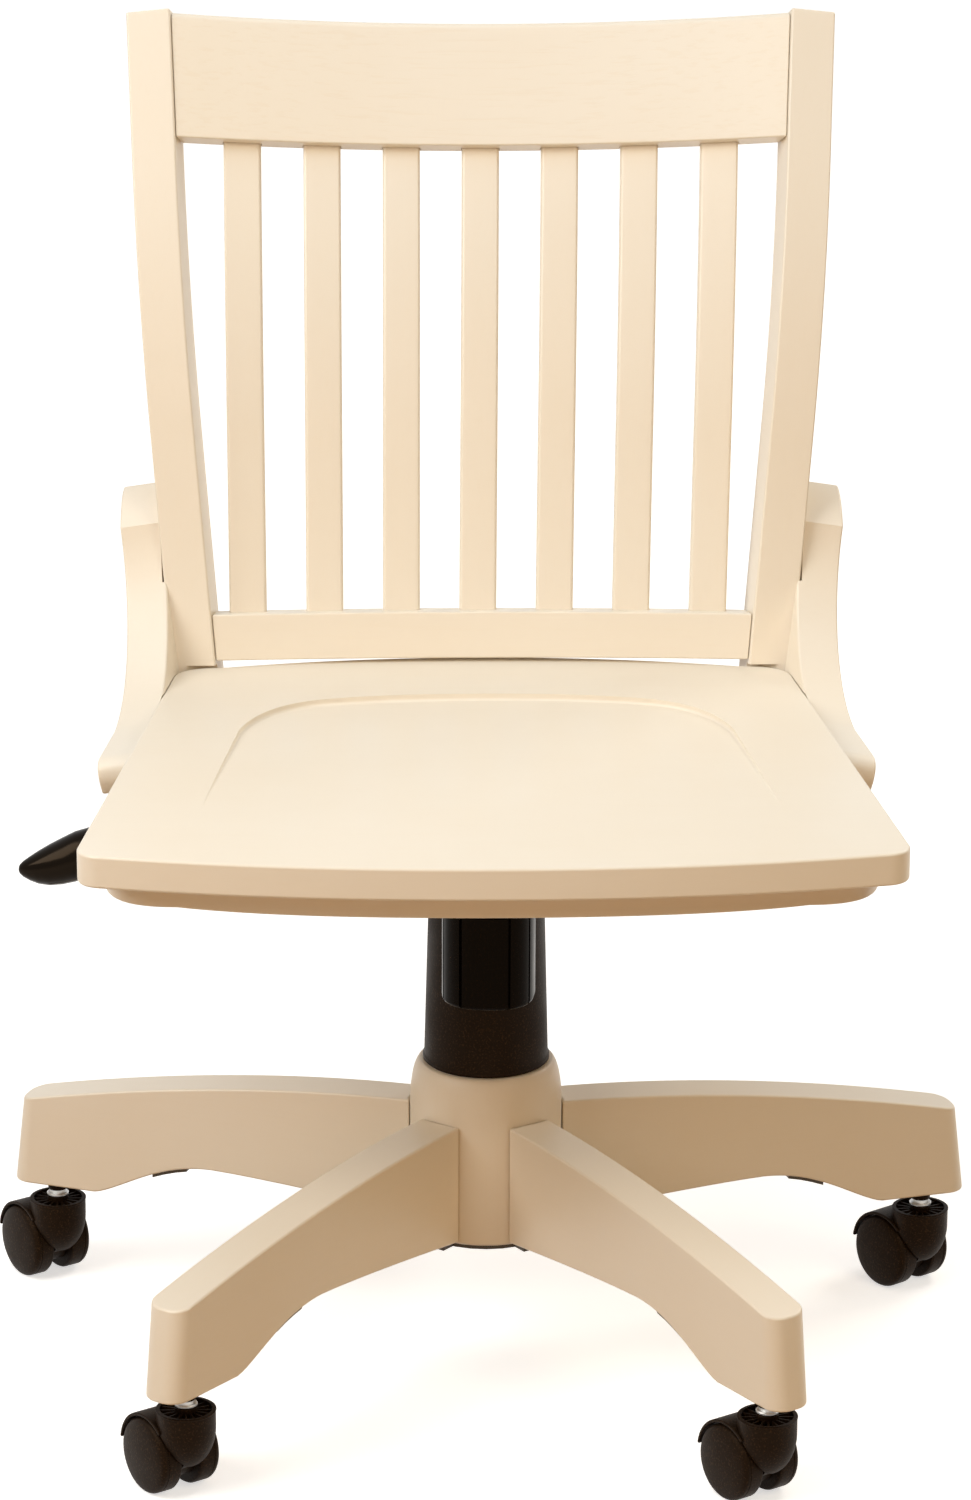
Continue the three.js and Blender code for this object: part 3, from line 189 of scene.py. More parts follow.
class BackSizes(bpy.types.PropertyGroup):
    """Posts, rails, slats and brackets"""

    post_width: length("Post width", "Width of a post", 0.028)
    post_depth: length("Post depth", "Depth of a post", 0.030)
    post_inset: length("Post inset", "Inner face of a post from the seat's rear width", 0.027)
    post_front_y: length("Post foot", "Front face of a post at its foot", 0.1515)
    post_foot_z: length("Post foot height", "Height where a post's profile starts", 0.404)
    post_tail: length("Post tail", "Length of the post below its profile's start", 0.037)
    post_splay: share("Post splay", "Sideways spread for each metre of height", 0.1025)
    post_length: length("Post length", "Length along the post's front face", 0.424)
    bend_start: length("Bend start", "Where the post starts to bend", 0.150)
    bend_end: length("Bend end", "Where the post's bend ends", 0.330)
    low_recline: degrees("Lower recline", "Lean of the post below its bend", 8)
    high_recline: degrees("Upper recline", "Lean of the post above its bend", 23.5)
    crest_bow: length("Crest bow", "How far the crest's middle lies back", 0.032)
    rail_bow: length("Rail bow", "How far the lower rail's middle lies back", 0.010)
    crest_bottom: length("Crest bottom", "Lower edge of the crest along the post", 0.3405)
    crest_height: length("Crest height", "Height of the crest board", 0.0815)
    crest_thickness: length("Crest thickness", "Thickness of the crest board", 0.020)
    crest_edge: length("Crest edge", "Rounding of the crest's top front edge", 0.0045)
    rail_bottom: length("Rail bottom", "Lower edge of the lower rail along the post", 0.0025)
    rail_height: length("Rail height", "Height of the lower rail", 0.030)
    rail_thickness: length("Rail thickness", "Thickness of the lower rail", 0.019)
    rail_inset: length("Rail inset", "How far the rails lie behind the posts' fronts", 0.002)
    edge: length("Board edge", "Rounding of the posts' and rails' edges", 0.0014)
    slat_width: length("Slat width", "Width of a slat", 0.024)
    slat_thickness: length("Slat thickness", "Thickness of a slat", 0.011)
    slat_edge: length("Slat edge", "Rounding of a slat's edges", 0.0022)
    slat_inset: length("Slat inset", "How far the slats lie behind the rails' fronts", 0.009)
    slat_pitch_low: length("Slat pitch low", "Spacing of the slats' feet", 0.0494)
    slat_pitch_high: length("Slat pitch high", "Spacing of the slats' heads", 0.0512)
    slat_lean: length("Slat lean", "Sideways shift of the slats' feet", 0.0026)
    slat_tenon: length("Slat tenon", "How deep the slats sit in the rails", 0.012)
    bracket_thickness: length("Bracket thickness", "Thickness of a side bracket", 0.0265)
    bracket_rebate: length("Bracket rebate", "How deep a bracket is let into the seat", 0.0025)
    bracket_edge: length("Bracket edge", "Rounding of a bracket's edges", 0.0016)


class Finishes(bpy.types.PropertyGroup):
    """Colours of the finishes"""

    paint: colour("Paint", "Antique white paint", (0.85, 0.78, 0.665, 1.0))
    paint_shade: colour("Paint shade", "Thinner paint where the wood warms it", (0.825, 0.735, 0.6, 1.0))
    moulding: colour("Moulding", "Textured brown-black plastic", (0.0075, 0.0036, 0.0017, 1.0))
    speckle: colour("Speckle", "Raised grains of the moulding", (0.027, 0.0145, 0.007, 1.0))
    gloss: colour("Gloss black", "Polished black plastic", (0.0015, 0.0009, 0.0006, 1.0))
    gloss_speckle: colour("Gloss speckle", "Grains of the polished plastic", (0.006, 0.003, 0.0015, 1.0))
    shine: colour("Shine", "Tint of what the dark plastics reflect", (1.0, 0.72, 0.48, 1.0))
    enamel: colour("Enamel", "Black enamel on steel", (0.014, 0.013, 0.012, 1.0))
    bright: colour("Bright steel", "Zinc plate on steel", (0.74, 0.735, 0.72, 1.0))
    nylon: colour("Nylon", "Natural nylon of the guide bush", (0.62, 0.59, 0.5, 1.0))


class StudioSettings(bpy.types.PropertyGroup):
    """Camera, floor and lights"""

    camera_place: FloatVectorProperty(
        name="Camera place",
        description="Where the camera stands",
        default=(-0.07106, -3.3923, 1.4823),
        subtype="TRANSLATION",
        unit="LENGTH",
    )
    camera_pitch: degrees("Camera pitch", "How far the camera looks down", 17.77)
    camera_turn: degrees("Camera turn", "How far the camera looks to the sitter's left", 1.184)
    camera_roll: degrees("Camera roll", "How far the camera is turned about its view", 0.19)
    lens: FloatProperty(name="Lens", description="Focal length in millimetres", default=137.98, unit="CAMERA")
    floor: colour("Floor", "Pale studio floor", (0.86, 0.86, 0.86, 1.0))
    bounce: colour("Floor bounce", "How much light the floor gives back", (0.42, 0.265, 0.12, 1.0))
    room: colour("Room", "Colour of the even light from all round", (1.0, 0.58, 0.12, 1.0))
    room_light: share("Room light", "Strength of the even light from all round", 0.11)
    top_light: power("Top light", "Power of the overhead panel", 27.0)
    key_light: power("Key light", "Power of the panel at the image's left", 30.5)
    rear_light: power("Rear light", "Power of the panel behind, right", 21.5)
    right_light: power("Right light", "Power of the panel in front, right", 17.5)
    front_light: power("Front light", "Power of the panel in front", 7.0)
    cool: colour("Cool", "Colour of the overhead panel", (0.7, 0.84, 1.0, 1.0))
    plain: colour("Plain", "Colour of the panels at the sides", (1.0, 0.965, 0.905, 1.0))
    warm: colour("Warm", "Colour of the panel in front, right", (1.0, 0.87, 0.63, 1.0))
    glow: colour("Glow", "Colour of the panel in front", (1.0, 0.4, 0.1, 1.0))


SETTINGS = {
    "chair_base": BaseSizes,
    "chair_casters": CasterSizes,
    "chair_column": ColumnSizes,
    "chair_seat": SeatSizes,
    "chair_back": BackSizes,
    "chair_finish": Finishes,
    "chair_studio": StudioSettings,
}


# Workshop: selecting, shaping and finishing


def chair(group):
    """The chair's settings of one group, such as seat."""
    return getattr(bpy.context.scene, f"chair_{group}")


def deselect():
    current = bpy.context.object
    if current and current.mode != "OBJECT":
        bpy.ops.object.mode_set(mode="OBJECT")
    bpy.ops.object.select_all(action="DESELECT")


def pick(piece):
    deselect()
    piece.select_set(True)
    bpy.context.view_layer.objects.active = piece


def edit(piece, mode="VERT"):
    pick(piece)
    bpy.ops.object.mode_set(mode="EDIT")
    bpy.ops.mesh.select_mode(type=mode)
    bpy.ops.mesh.select_all(action="SELECT")


def leave_edit():
    bpy.ops.object.mode_set(mode="OBJECT")


def face_out(piece):
    edit(piece)
    bpy.ops.mesh.normals_make_consistent(inside=False)
    leave_edit()


def settle(piece, matrix=None):
    """Puts the piece's place, or a new one, into its mesh, so that its object sits at the origin."""
    if matrix is not None:
        piece.matrix_world = matrix
    pick(piece)
    bpy.ops.object.transform_apply(location=True, rotation=True, scale=True)


def modify(piece, kind, **settings):
    pick(piece)
    modifier = piece.modifiers.new(kind.title(), kind)
    for name, value in settings.items():
        setattr(modifier, name, value)
    bpy.ops.object.modifier_apply(modifier=modifier.name)


def round_edges(piece, width, segments=3, angle=38):
    limit = math.radians(angle)
    modify(piece, "BEVEL", width=width, segments=segments, limit_method="ANGLE", angle_limit=limit)


def bevel_lines(piece, width, segments, chosen):
    """Rounds those edges whose two ends pass a test."""
    edit(piece, "EDGE")
    bpy.ops.mesh.select_all(action="DESELECT")
    leave_edit()
    for line in piece.data.edges:
        line.select = chosen(*(piece.data.vertices[index].co for index in line.vertices))
    bpy.ops.object.mode_set(mode="EDIT")
    bpy.ops.mesh.bevel(offset=width, segments=segments, affect="EDGES")
    leave_edit()


def smooth(piece, angle=34):
    pick(piece)
    bpy.ops.object.shade_smooth_by_angle(angle=math.radians(angle))
    modify(piece, "WEIGHTED_NORMAL", keep_sharp=True)


def cut(piece, *tools, operation="DIFFERENCE"):
    for tool in tools:
        modify(piece, "BOOLEAN", operation=operation, solver="EXACT", object=tool)
        bpy.data.objects.remove(tool)
    return piece


def copied(piece, name, matrix):
    """A copy with a mesh of its own, moved by a matrix."""
    pick(piece)
    bpy.ops.object.duplicate(linked=False)
    twin = bpy.context.object
    twin.name = name
    settle(twin, matrix)
    return twin


def mirrored(piece, name):
    twin = copied(piece, name, Matrix.Scale(-1, 4, (1, 0, 0)))
    face_out(twin)
    return twin


def spread(start, end, steps):
    """Even steps from one value to another, with both ends."""
    return [start + (end - start) * step / steps for step in range(steps + 1)]


def bezier(*points, steps=12):
    """Points along a Bezier curve, after its first one."""
    made = []
    for step in range(1, steps + 1):
        level = [Vector(point) for point in points]
        while len(level) > 1:
            level = [a.lerp(b, step / steps) for a, b in zip(level, level[1:])]
        made.append(tuple(level[0]))
    return made


def added(name, primitive, **settings):
    """A new mesh primitive, with nothing else selected."""
    deselect()
    getattr(bpy.ops.mesh, f"primitive_{primitive}_add")(**settings)
    piece = bpy.context.object
    piece.name = name
    return piece


def board(name, outline, near, far, across):
    """An outline on a filled circle, extruded between two distances along X or Z."""
    piece = added(name, "circle", vertices=len(outline), radius=1, fill_type="NGON")
    for vertex, (a, b) in zip(piece.data.vertices, outline):
        vertex.co = (near, a, b) if across == "X" else (a, b, near)
    step = (far - near, 0, 0) if across == "X" else (0, 0, far - near)
    edit(piece)
    bpy.ops.mesh.extrude_region_move(TRANSFORM_OT_translate={"value": step})
    leave_edit()
    face_out(piece)
    return piece


def turned(name, profile, centre=(0, 0), segments=96, ring=False):
    """A lathe piece: each [radius, height] is a circle extruded from the one before."""
    x, y = centre
    radius, height = profile[0]
    fill = "NOTHING" if ring else "NGON"
    piece = added(name, "circle", vertices=segments, radius=radius, location=(x, y, height), fill_type=fill)
    push = bpy.ops.mesh.extrude_edges_move if ring else bpy.ops.mesh.extrude_region_move
    edit(piece)
    for next_radius, next_height in profile[1:] + (profile[:1] if ring else []):
        push(TRANSFORM_OT_translate={"value": (0, 0, next_height - height)})
        scale = next_radius / radius
        bpy.ops.transform.resize(value=(scale, scale, 1), center_override=(x, y, next_height))
        radius, height = next_radius, next_height
    bpy.ops.mesh.select_all(action="SELECT")
    bpy.ops.mesh.remove_doubles(threshold=MERGE)
    leave_edit()
    settle(piece)
    face_out(piece)
    return piece


def block(name, low, high, cuts_across=0, cuts_up=0):
    """A box between two corners, sliced across its width and height so that it can bend."""
    low, high = Vector(low), Vector(high)
    piece = added(name, "cube", size=1, location=(low + high) / 2)
    piece.scale = high - low
    settle(piece)
    for normal, cuts in (((1, 0, 0), cuts_across), ((0, 0, 1), cuts_up)):
        for index in range(1, cuts + 1):
            edit(piece)
            bpy.ops.mesh.bisect(plane_co=low + (high - low) * index / (cuts + 1), plane_no=normal)
            leave_edit()
    return piece


def bar(name, radius, start, end, segments=48):
    """A round bar between two points, with eased ends."""
    start, end = Vector(start), Vector(end)
    turn = (end - start).to_track_quat("Z", "Y").to_euler()
    size = {"vertices": segments, "radius": radius, "depth": (end - start).length}
    piece = added(name, "cylinder", location=(start + end) / 2, rotation=turn, **size)
    settle(piece)
    widest_ease = 0.0005
    round_edges(piece, min(radius / 8, widest_ease), 2)
    return piece


def bend(piece, place):
    """Moves each point of a straight piece to its place on the chair."""
    for vertex in piece.data.vertices:
        vertex.co = place(*vertex.co)
    face_out(piece)
    return piece


def heading_matrix(x, y, heading):
    """Moves a piece made along -Y to a place and turns it clockwise seen from above."""
    return Matrix.Translation((x, y, 0)) @ Matrix.Rotation(-heading, 4, "Z")


def dress(piece, material, body, *nodes, angle=34):
    """Smooths a finished piece, gives it its material and puts it on its body."""
    smooth(piece, angle)
    piece.data.materials.clear()
    piece.data.materials.append(bpy.data.materials[material])
    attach(piece, body)
    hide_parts(*nodes)
    return piece


# Materials


def shader_group(name, *inputs):
    """An empty node group with named sockets, and its two end nodes."""
    group = bpy.data.node_groups.new(name, "ShaderNodeTree")
    for label, kind in inputs:
        group.interface.new_socket(name=label, in_out="INPUT", socket_type=f"NodeSocket{kind}")
    for label, kind in (("Colour", "Color"), ("Height", "Float"), ("Roughness", "Float")):
        group.interface.new_socket(name=label, in_out="OUTPUT", socket_type=f"NodeSocket{kind}")
    return group, group.nodes.new("NodeGroupInput"), group.nodes.new("NodeGroupOutput")


def feed(tree, node, entries):
    """Gives each entry of a node a plain value, or the output that drives it."""
    for entry, value in entries.items():
        if isinstance(value, bpy.types.NodeSocket):
            tree.links.new(value, node.inputs[entry])
        else:
            node.inputs[entry].default_value = value
    return node


def new_node(tree, kind, entries=None, **settings):
    """A new shader node with its settings made and its entries fed."""
    node = tree.nodes.new(f"ShaderNode{kind}")
    for name, value in settings.items():
        setattr(node, name, value)
    return feed(tree, node, entries or {})


def stretched(tree, source, along, across):
    """The vector squeezed more across the grain than along it."""
    factors = new_node(tree, "CombineXYZ", {0: along, 1: across, 2: across}).outputs[0]
    return new_node(tree, "VectorMath", {0: source, 1: factors}, operation="MULTIPLY").outputs[0]


def ranged(tree, value, low, high, out_low=0.0, out_high=1.0):
    """The value stretched from one range to another."""
    entries = {"Value": value, "From Min": low, "From Max": high, "To Min": out_low, "To Max": out_high}
    return new_node(tree, "MapRange", entries).outputs[0]


def noise(tree, vector, scale, detail=2.0, roughness=0.5):
    entries = {"Vector": vector, "Scale": scale, "Detail": detail, "Roughness": roughness}
    return new_node(tree, "TexNoise", entries).outputs["Fac"]


def mixed(tree, factor, first, second):
    return new_node(tree, "Mix", {0: factor, 6: first, 7: second}, data_type="RGBA").outputs[2]


def sum_of(tree, first, second, weight):
    """The first value and a weighted second one."""
    return new_node(tree, "Math", {0: second, 1: weight, 2: first}, operation="MULTIPLY_ADD").outputs[0]


def make_wood_grain():
    """Fine pores and slow ripples of painted wood, along X."""
    numbers = [(label, "Float") for label in ("Along", "Across", "Pores")]
    colours = [("Colour", "Color"), ("Shade", "Color")]
    group, start, end = shader_group("Painted wood grain", ("Vector", "Vector"), *numbers, *colours)
    given = start.outputs
    pore_space = stretched(group, given["Vector"], given["Along"], given["Across"])
    pores = ranged(group, noise(group, pore_space, scale=95.0, detail=3.0, roughness=0.6), 0.36, 0.47)
    ripple = noise(group, pore_space, scale=22.0)
    orange_peel = noise(group, given["Vector"], scale=420.0, detail=1.0)
    cloud = ranged(group, noise(group, given["Vector"], scale=7.0, detail=3.0), 0.3, 0.72)
    depths = ranged(group, pores, 0.0, 1.0, 0.45, 0.0)
    shaded_pores = new_node(group, "Math", {0: depths, 1: given["Pores"]}, operation="MULTIPLY").outputs[0]
    both = sum_of(group, shaded_pores, cloud, 0.55)
    effects = {
        "Colour": mixed(group, both, given["Colour"], given["Shade"]),
        "Height": sum_of(group, sum_of(group, pores, ripple, 0.5), orange_peel, 0.22),
        "Roughness": ranged(group, cloud, 0.0, 1.0, 0.36, 0.46),
    }
    feed(group, end, effects)
    return group


def make_moulded_grain():
    """Spark-eroded texture of a plastic moulding, or the faint waves of a polished one."""
    numbers = [(label, "Float") for label in ("Fineness", "Low roughness", "High roughness")]
    colours = [("Colour", "Color"), ("Speckle", "Color")]
    group, start, end = shader_group("Moulded grain", ("Vector", "Vector"), *numbers, *colours)
    given = start.outputs
    scaled = {0: given["Vector"], "Scale": given["Fineness"]}
    space = new_node(group, "VectorMath", scaled, operation="SCALE").outputs[0]
    grains = noise(group, space, scale=900.0, roughness=0.55)
    spots = ranged(group, noise(group, space, scale=800.0, detail=1.0), 0.54, 0.72)
    handled = ranged(group, noise(group, given["Vector"], scale=26.0, detail=3.0), 0.3, 0.7)
    rough = new_node(group, "Mix", {0: handled, 2: given["Low roughness"], 3: given["High roughness"]})
    effects = {
        "Colour": mixed(group, spots, given["Colour"], given["Speckle"]),
        "Height": sum_of(group, grains, spots, 0.6),
        "Roughness": rough.outputs[0],
    }
    feed(group, end, effects)
    return group


def principled(name):
    """A new material's nodes, its shader and its Object coordinates."""
    material = bpy.data.materials.new(name)
    material.use_nodes = True
    tree = material.node_tree
    return tree, tree.nodes["Principled BSDF"], new_node(tree, "TexCoord").outputs["Object"]


def grained(name, group, grain, bump, shine, turn=None):
    """A material whose colour, roughness and bump come from one of the two grains."""
    tree, shader, place = principled(name)
    if turn is not None:
        place = new_node(tree, "Mapping", {"Vector": place, "Rotation": turn}).outputs[0]
    surface = new_node(tree, "Group", node_tree=group)
    feed(tree, surface, {"Vector": place, **grain})
    strength, depth = bump
    entries = {"Strength": strength, "Distance": depth, "Height": surface.outputs["Height"]}
    relief = new_node(tree, "Bump", entries)
    looks = {
        "Base Color": surface.outputs["Colour"],
        "Roughness": surface.outputs["Roughness"],
        "Normal": relief.outputs["Normal"],
    }
    feed(tree, shader, {**looks, **shine})


def paint_material(name, group, turn, pores):
    """Satin paint whose wood grain runs along X, turned with its piece."""
    finish = chair("finish")
    grain = {"Along": 0.16, "Across": 4.2, "Pores": pores}
    colours = {"Colour": finish.paint, "Shade": finish.paint_shade}
    relief = (0.1 + 0.2 * pores, 0.00009)
    shine = {"IOR": 1.5, "Coat Weight": 0.12, "Coat Roughness": 0.3}
    grained(name, group, {**grain, **colours}, relief, shine, turn)


def moulded_material(name, group, base, speckle, fineness, low, high, bump, metallic=0.0, specular=0.5):
    """Plastic, enamel or metal, whose roughness wanders between two values."""
    grain = {"Fineness": fineness, "Colour": base, "Speckle": speckle}
    shine = {"Metallic": metallic, "Specular IOR Level": specular}
    if metallic == 0:
        shine["Specular Tint"] = chair("finish").shine
    grained(name, group, {**grain, "Low roughness": low, "High roughness": high}, bump, shine)


def leg_heading(index):
    """Angle of a leg from the front, clockwise seen from above."""
    return chair("base").yaw + 2 * math.pi / LEGS * (index + 0.5)


class CHAIR_OT_finishes(bpy.types.Operator):
    """Makes the paint, plastics and metals"""

    bl_idname = "chair.finishes"
    bl_label = "Finishes"

    def execute(self, context):
        finish = chair("finish")
        wood = make_wood_grain()
        paint_material("paint_crest", wood, (0, 0, 0), 1.0)
        paint_material("paint_across", wood, (0, 0, 0), 0.25)
        paint_material("paint_upright", wood, (0, math.pi / 2, 0), 0.25)
        for index in range(LEGS):
            paint_material(f"paint_leg_{index + 1}", wood, (0, 0, math.pi / 2 + leg_heading(index)), 0.2)
        grain = make_moulded_grain()
        matt, enamel, polished = (0.5, 0.00014), (0.2, 0.0001), (0.05, 0.0001)
        rubbed, moulded, plated = (0.12, 0.0001), (0.1, 0.0001), (0.06, 0.00005)
        # Name, colour, grains, fineness, least and most roughness, relief, metallic, specular
        rows = (
            ("moulding", finish.moulding, finish.speckle, 1.0, 0.42, 0.56, matt, 0.0, 0.09),
            ("gloss_black", finish.gloss, finish.gloss, 0.2, 0.1, 0.2, polished, 0.0, 0.12),
            ("knob_black", finish.gloss, finish.gloss_speckle, 1.0, 0.2, 0.32, rubbed, 0.0, 0.04),
            ("enamel", finish.enamel, finish.speckle, 0.8, 0.3, 0.45, enamel),
            ("bright_steel", finish.bright, finish.bright, 1.5, 0.16, 0.3, plated, 1.0),
            ("nylon", finish.nylon, finish.nylon, 0.6, 0.4, 0.5, moulded),
        )
        for name, *values in rows:
            moulded_material(name, grain, *values)
        return {"FINISHED"}


# Base: hub, legs and their steel


def underside_height(radius):
    """A flat foot, a swelling curve, and a shallow arch back to the hub."""
    base = chair("base")
    if radius >= base.foot_inner:
        return base.foot_bottom
    if radius >= base.arch_radius:
        rise = (base.foot_inner - radius) / (base.foot_inner - base.arch_radius)
        lift = math.sin(math.pi / 2 * rise**0.7) ** 2
        return base.foot_bottom + (base.arch_height - base.foot_bottom) * lift
    fall = (base.arch_radius - radius) / (base.arch_radius - base.hub_radius)
    return base.arch_height - (base.arch_height - base.arch_root) * max(fall, 0) ** 1.3


def underside(start, end, steps, lift=0.0):
    return [(-radius, underside_height(radius) + lift) for radius in spread(start, end, steps)]


def underside_room(start, end, steps, below, above, width):
    """Room for a strip of steel that follows the underside of a leg."""
    end, half = end + FIT, width / 2 + FIT
    outline = underside(start, end, steps, -below - FIT) + underside(end, start, steps, above + FIT)
    return board("strip", outline, -half, half, "X")


def leg_blank():
    """One leg along -Y: sawn outline, rounded tip, hub cope and room for its steel."""
    base = chair("base")
    in_hub, joint_line, below_hub = 0.008, 0.0007, 0.03
    cope = base.hub_radius - in_hub
    root, crown = (-cope, base.root_top), (-base.crown_radius, base.crown_height)
    tip_top = (-(base.leg_reach - base.tip_slope), base.tip_top)
    outline = [root, *bezier(root, crown, tip_top, steps=28), (-base.leg_reach, base.foot_bottom)]
    outline += underside(base.foot_inner, base.arch_radius, 22)
    outline += underside(base.arch_radius, cope, 12)[1:]
    leg = board("leg_blank", outline, -base.leg_width / 2, base.leg_width / 2, "X")
    tip = -(base.leg_reach - 2 * base.tip_slope)
    bevel_lines(leg, base.corner, 10, lambda a, b: max(a.y, b.y) < tip and abs(a.z - b.z) > base.leg_width)
    hub = base.hub_radius + joint_line
    cut(leg, turned("hub_room", [(hub, base.hub_bottom - below_hub), (hub, base.hub_top)], segments=144))
    round_edges(leg, base.edge)
    strap_start, strap_width, strap_depth = base.hub_radius - 0.004, 0.016, 0.003
    strap = underside_room(strap_start, base.strap_end, 18, 0, strap_depth, strap_width)
    pad_width, pad_below, pad_depth = 0.024, 0.0024, 0.0015
    pad = underside_room(base.pad_start - FIT, base.strap_end, 6, pad_below, pad_depth, pad_width)
    lug_half, lug_start, lug_end, lug_bottom = strap_width / 2 + FIT, 0.04, 0.054, 0.06
    lug_top = underside_height(lug_end) + pad_depth + FIT
    lug = block("lug", (-lug_half, -lug_end - FIT, lug_bottom), (lug_half, -lug_start, lug_top))
    return cut(leg, strap, pad, lug)


class CHAIR_OT_base(bpy.types.Operator):
    """Turns the hub and makes the five legs with the steel that carries them"""

    bl_idname = "chair.base"
    bl_label = "Hub and legs"

    def execute(self, context):
        base = chair("base")
        chamfer = 0.0016
        profile = [(base.hub_bore, base.hub_bottom), (base.hub_radius - chamfer, base.hub_bottom)]
        profile.append((base.hub_radius, base.hub_bottom + chamfer))
        for angle in spread(0, math.pi / 2, 14):
            radius = base.hub_top_radius + (base.hub_radius - base.hub_top_radius) * math.cos(angle)
            profile.append((radius, base.hub_top - base.hub_shoulder * (1 - math.sin(angle))))
        profile.append((base.hub_bore, base.hub_top))
        hub = turned("hub", profile, segments=128, ring=True)
        round_edges(hub, base.hub_edge, angle=50)
        dress(hub, "paint_upright", "base", "base_hub")
        blank = leg_blank()
        for index in range(LEGS):
            number = index + 1
            leg = copied(blank, f"wooden_leg_{number}", heading_matrix(0, 0, leg_heading(index)))
            dress(leg, f"paint_leg_{number}", "base", f"leg_{number}")
        bpy.data.objects.remove(blank)
        return {"FINISHED"}


def refined(node, name, edge):
    """A copy of a packed solid with its triangles merged and its edges eased."""
    piece = bpy.data.objects.new(name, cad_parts[node].data.copy())
    bpy.context.scene.collection.objects.link(piece)
    edit(piece)
    bpy.ops.mesh.remove_doubles(threshold=MERGE)
    bpy.ops.mesh.dissolve_limited(angle_limit=math.radians(1))
    leave_edit()
    round_edges(piece, edge, 2, 30)
    return piece


class CHAIR_OT_steelwork(bpy.types.Operator):
    """Finishes the steel and nylon inside the column and under the seat"""

    bl_idname = "chair.steelwork"
    bl_label = "Steelwork"

    def execute(self, context):
        eased = {
            "base_spider": ("enamel", "base", 0.0004),
            "stand_tube": ("enamel", "base", 0.0003),
            "guide_bush": ("nylon", "base", 0.0003),
            "thrust_bearing": ("bright_steel", "base", 0.0003),
            "piston_rod": ("bright_steel", "swivel_rod", 0.0002),
            "retaining_clip": ("bright_steel", "swivel_rod", 0.0002),
            "pressure_cylinder": ("enamel", "lift_column", 0.0003),
            "valve_button": ("bright_steel", "valve", 0.0003),
            "control_housing": ("enamel", "lift_column", 0.0008),
            "tilt_pin": ("bright_steel", "lift_column", 0.0004),
            "seat_plate": ("enamel", "seat_and_back", 0.0006),
            "tension_bolt": ("bright_steel", "seat_and_back", 0.0003),
        }
        for node, (material, body, edge) in eased.items():
            dress(refined(node, f"{node}_finished", edge), material, body, node, angle=30)
        return {"FINISHED"}


# Casters


def caster_wheel():
    """A wheel turned about Z, then laid along X: tread, rounded edge, domed face and blind bore."""
    caster = chair("casters")
    radius, inner, outer = caster.wheel_radius, caster.wheel_inner, caster.wheel_outer
    bore, bore_end = 0.0033, 0.0183
    tread = [
        (0.0024, 0), (0.0008, 0.0005), (0, 0.0018), (0, 0.0094), (0.0003, 0.0096), (0.0003, 0.0099),
        (0, 0.0101), (0, 0.0110), (0.0002, 0.0118), (0.0007, 0.0127), (0.0014, 0.0134), (0.0023, 0.0139),
        (0.0040, 0.0145), (0.0075, 0.0153),
    ]
    dome = [(radius - 0.0115, 0.0008), (radius - 0.0155, 0.0003), (0.004, 0.0001), (0.001, 0)]
    profile = [(bore, bore_end), (bore, inner)]
    profile += [(radius - inset, inner + across) for inset, across in tread]
    profile += [(reach, outer - drop) for reach, drop in dome]
    wheel = turned("wheel_blank", profile, segments=72)
    settle(wheel, Matrix.Translation((0, -caster.trail, radius)) @ Matrix.Rotation(math.pi / 2, 4, "Y"))
    return wheel


def axle_drum(name, radius, half, segments=72):
    """A drum about the caster's axle."""
    caster = chair("casters")
    centre, reach = Vector((0, -caster.trail, caster.wheel_radius)), Vector((half, 0, 0))
    return bar(name, radius, centre - reach, centre + reach, segments)


def fender_outline(inner, outer, start, end, steps=18):
    caster = chair("casters")
    angles = [math.radians(angle) for angle in spread(start, end, steps)]

    def spot(radius, angle):
        return radius * math.cos(angle) - caster.trail, radius * math.sin(angle) + caster.wheel_radius

    return [spot(outer, angle) for angle in angles] + [spot(inner, angle) for angle in reversed(angles)]


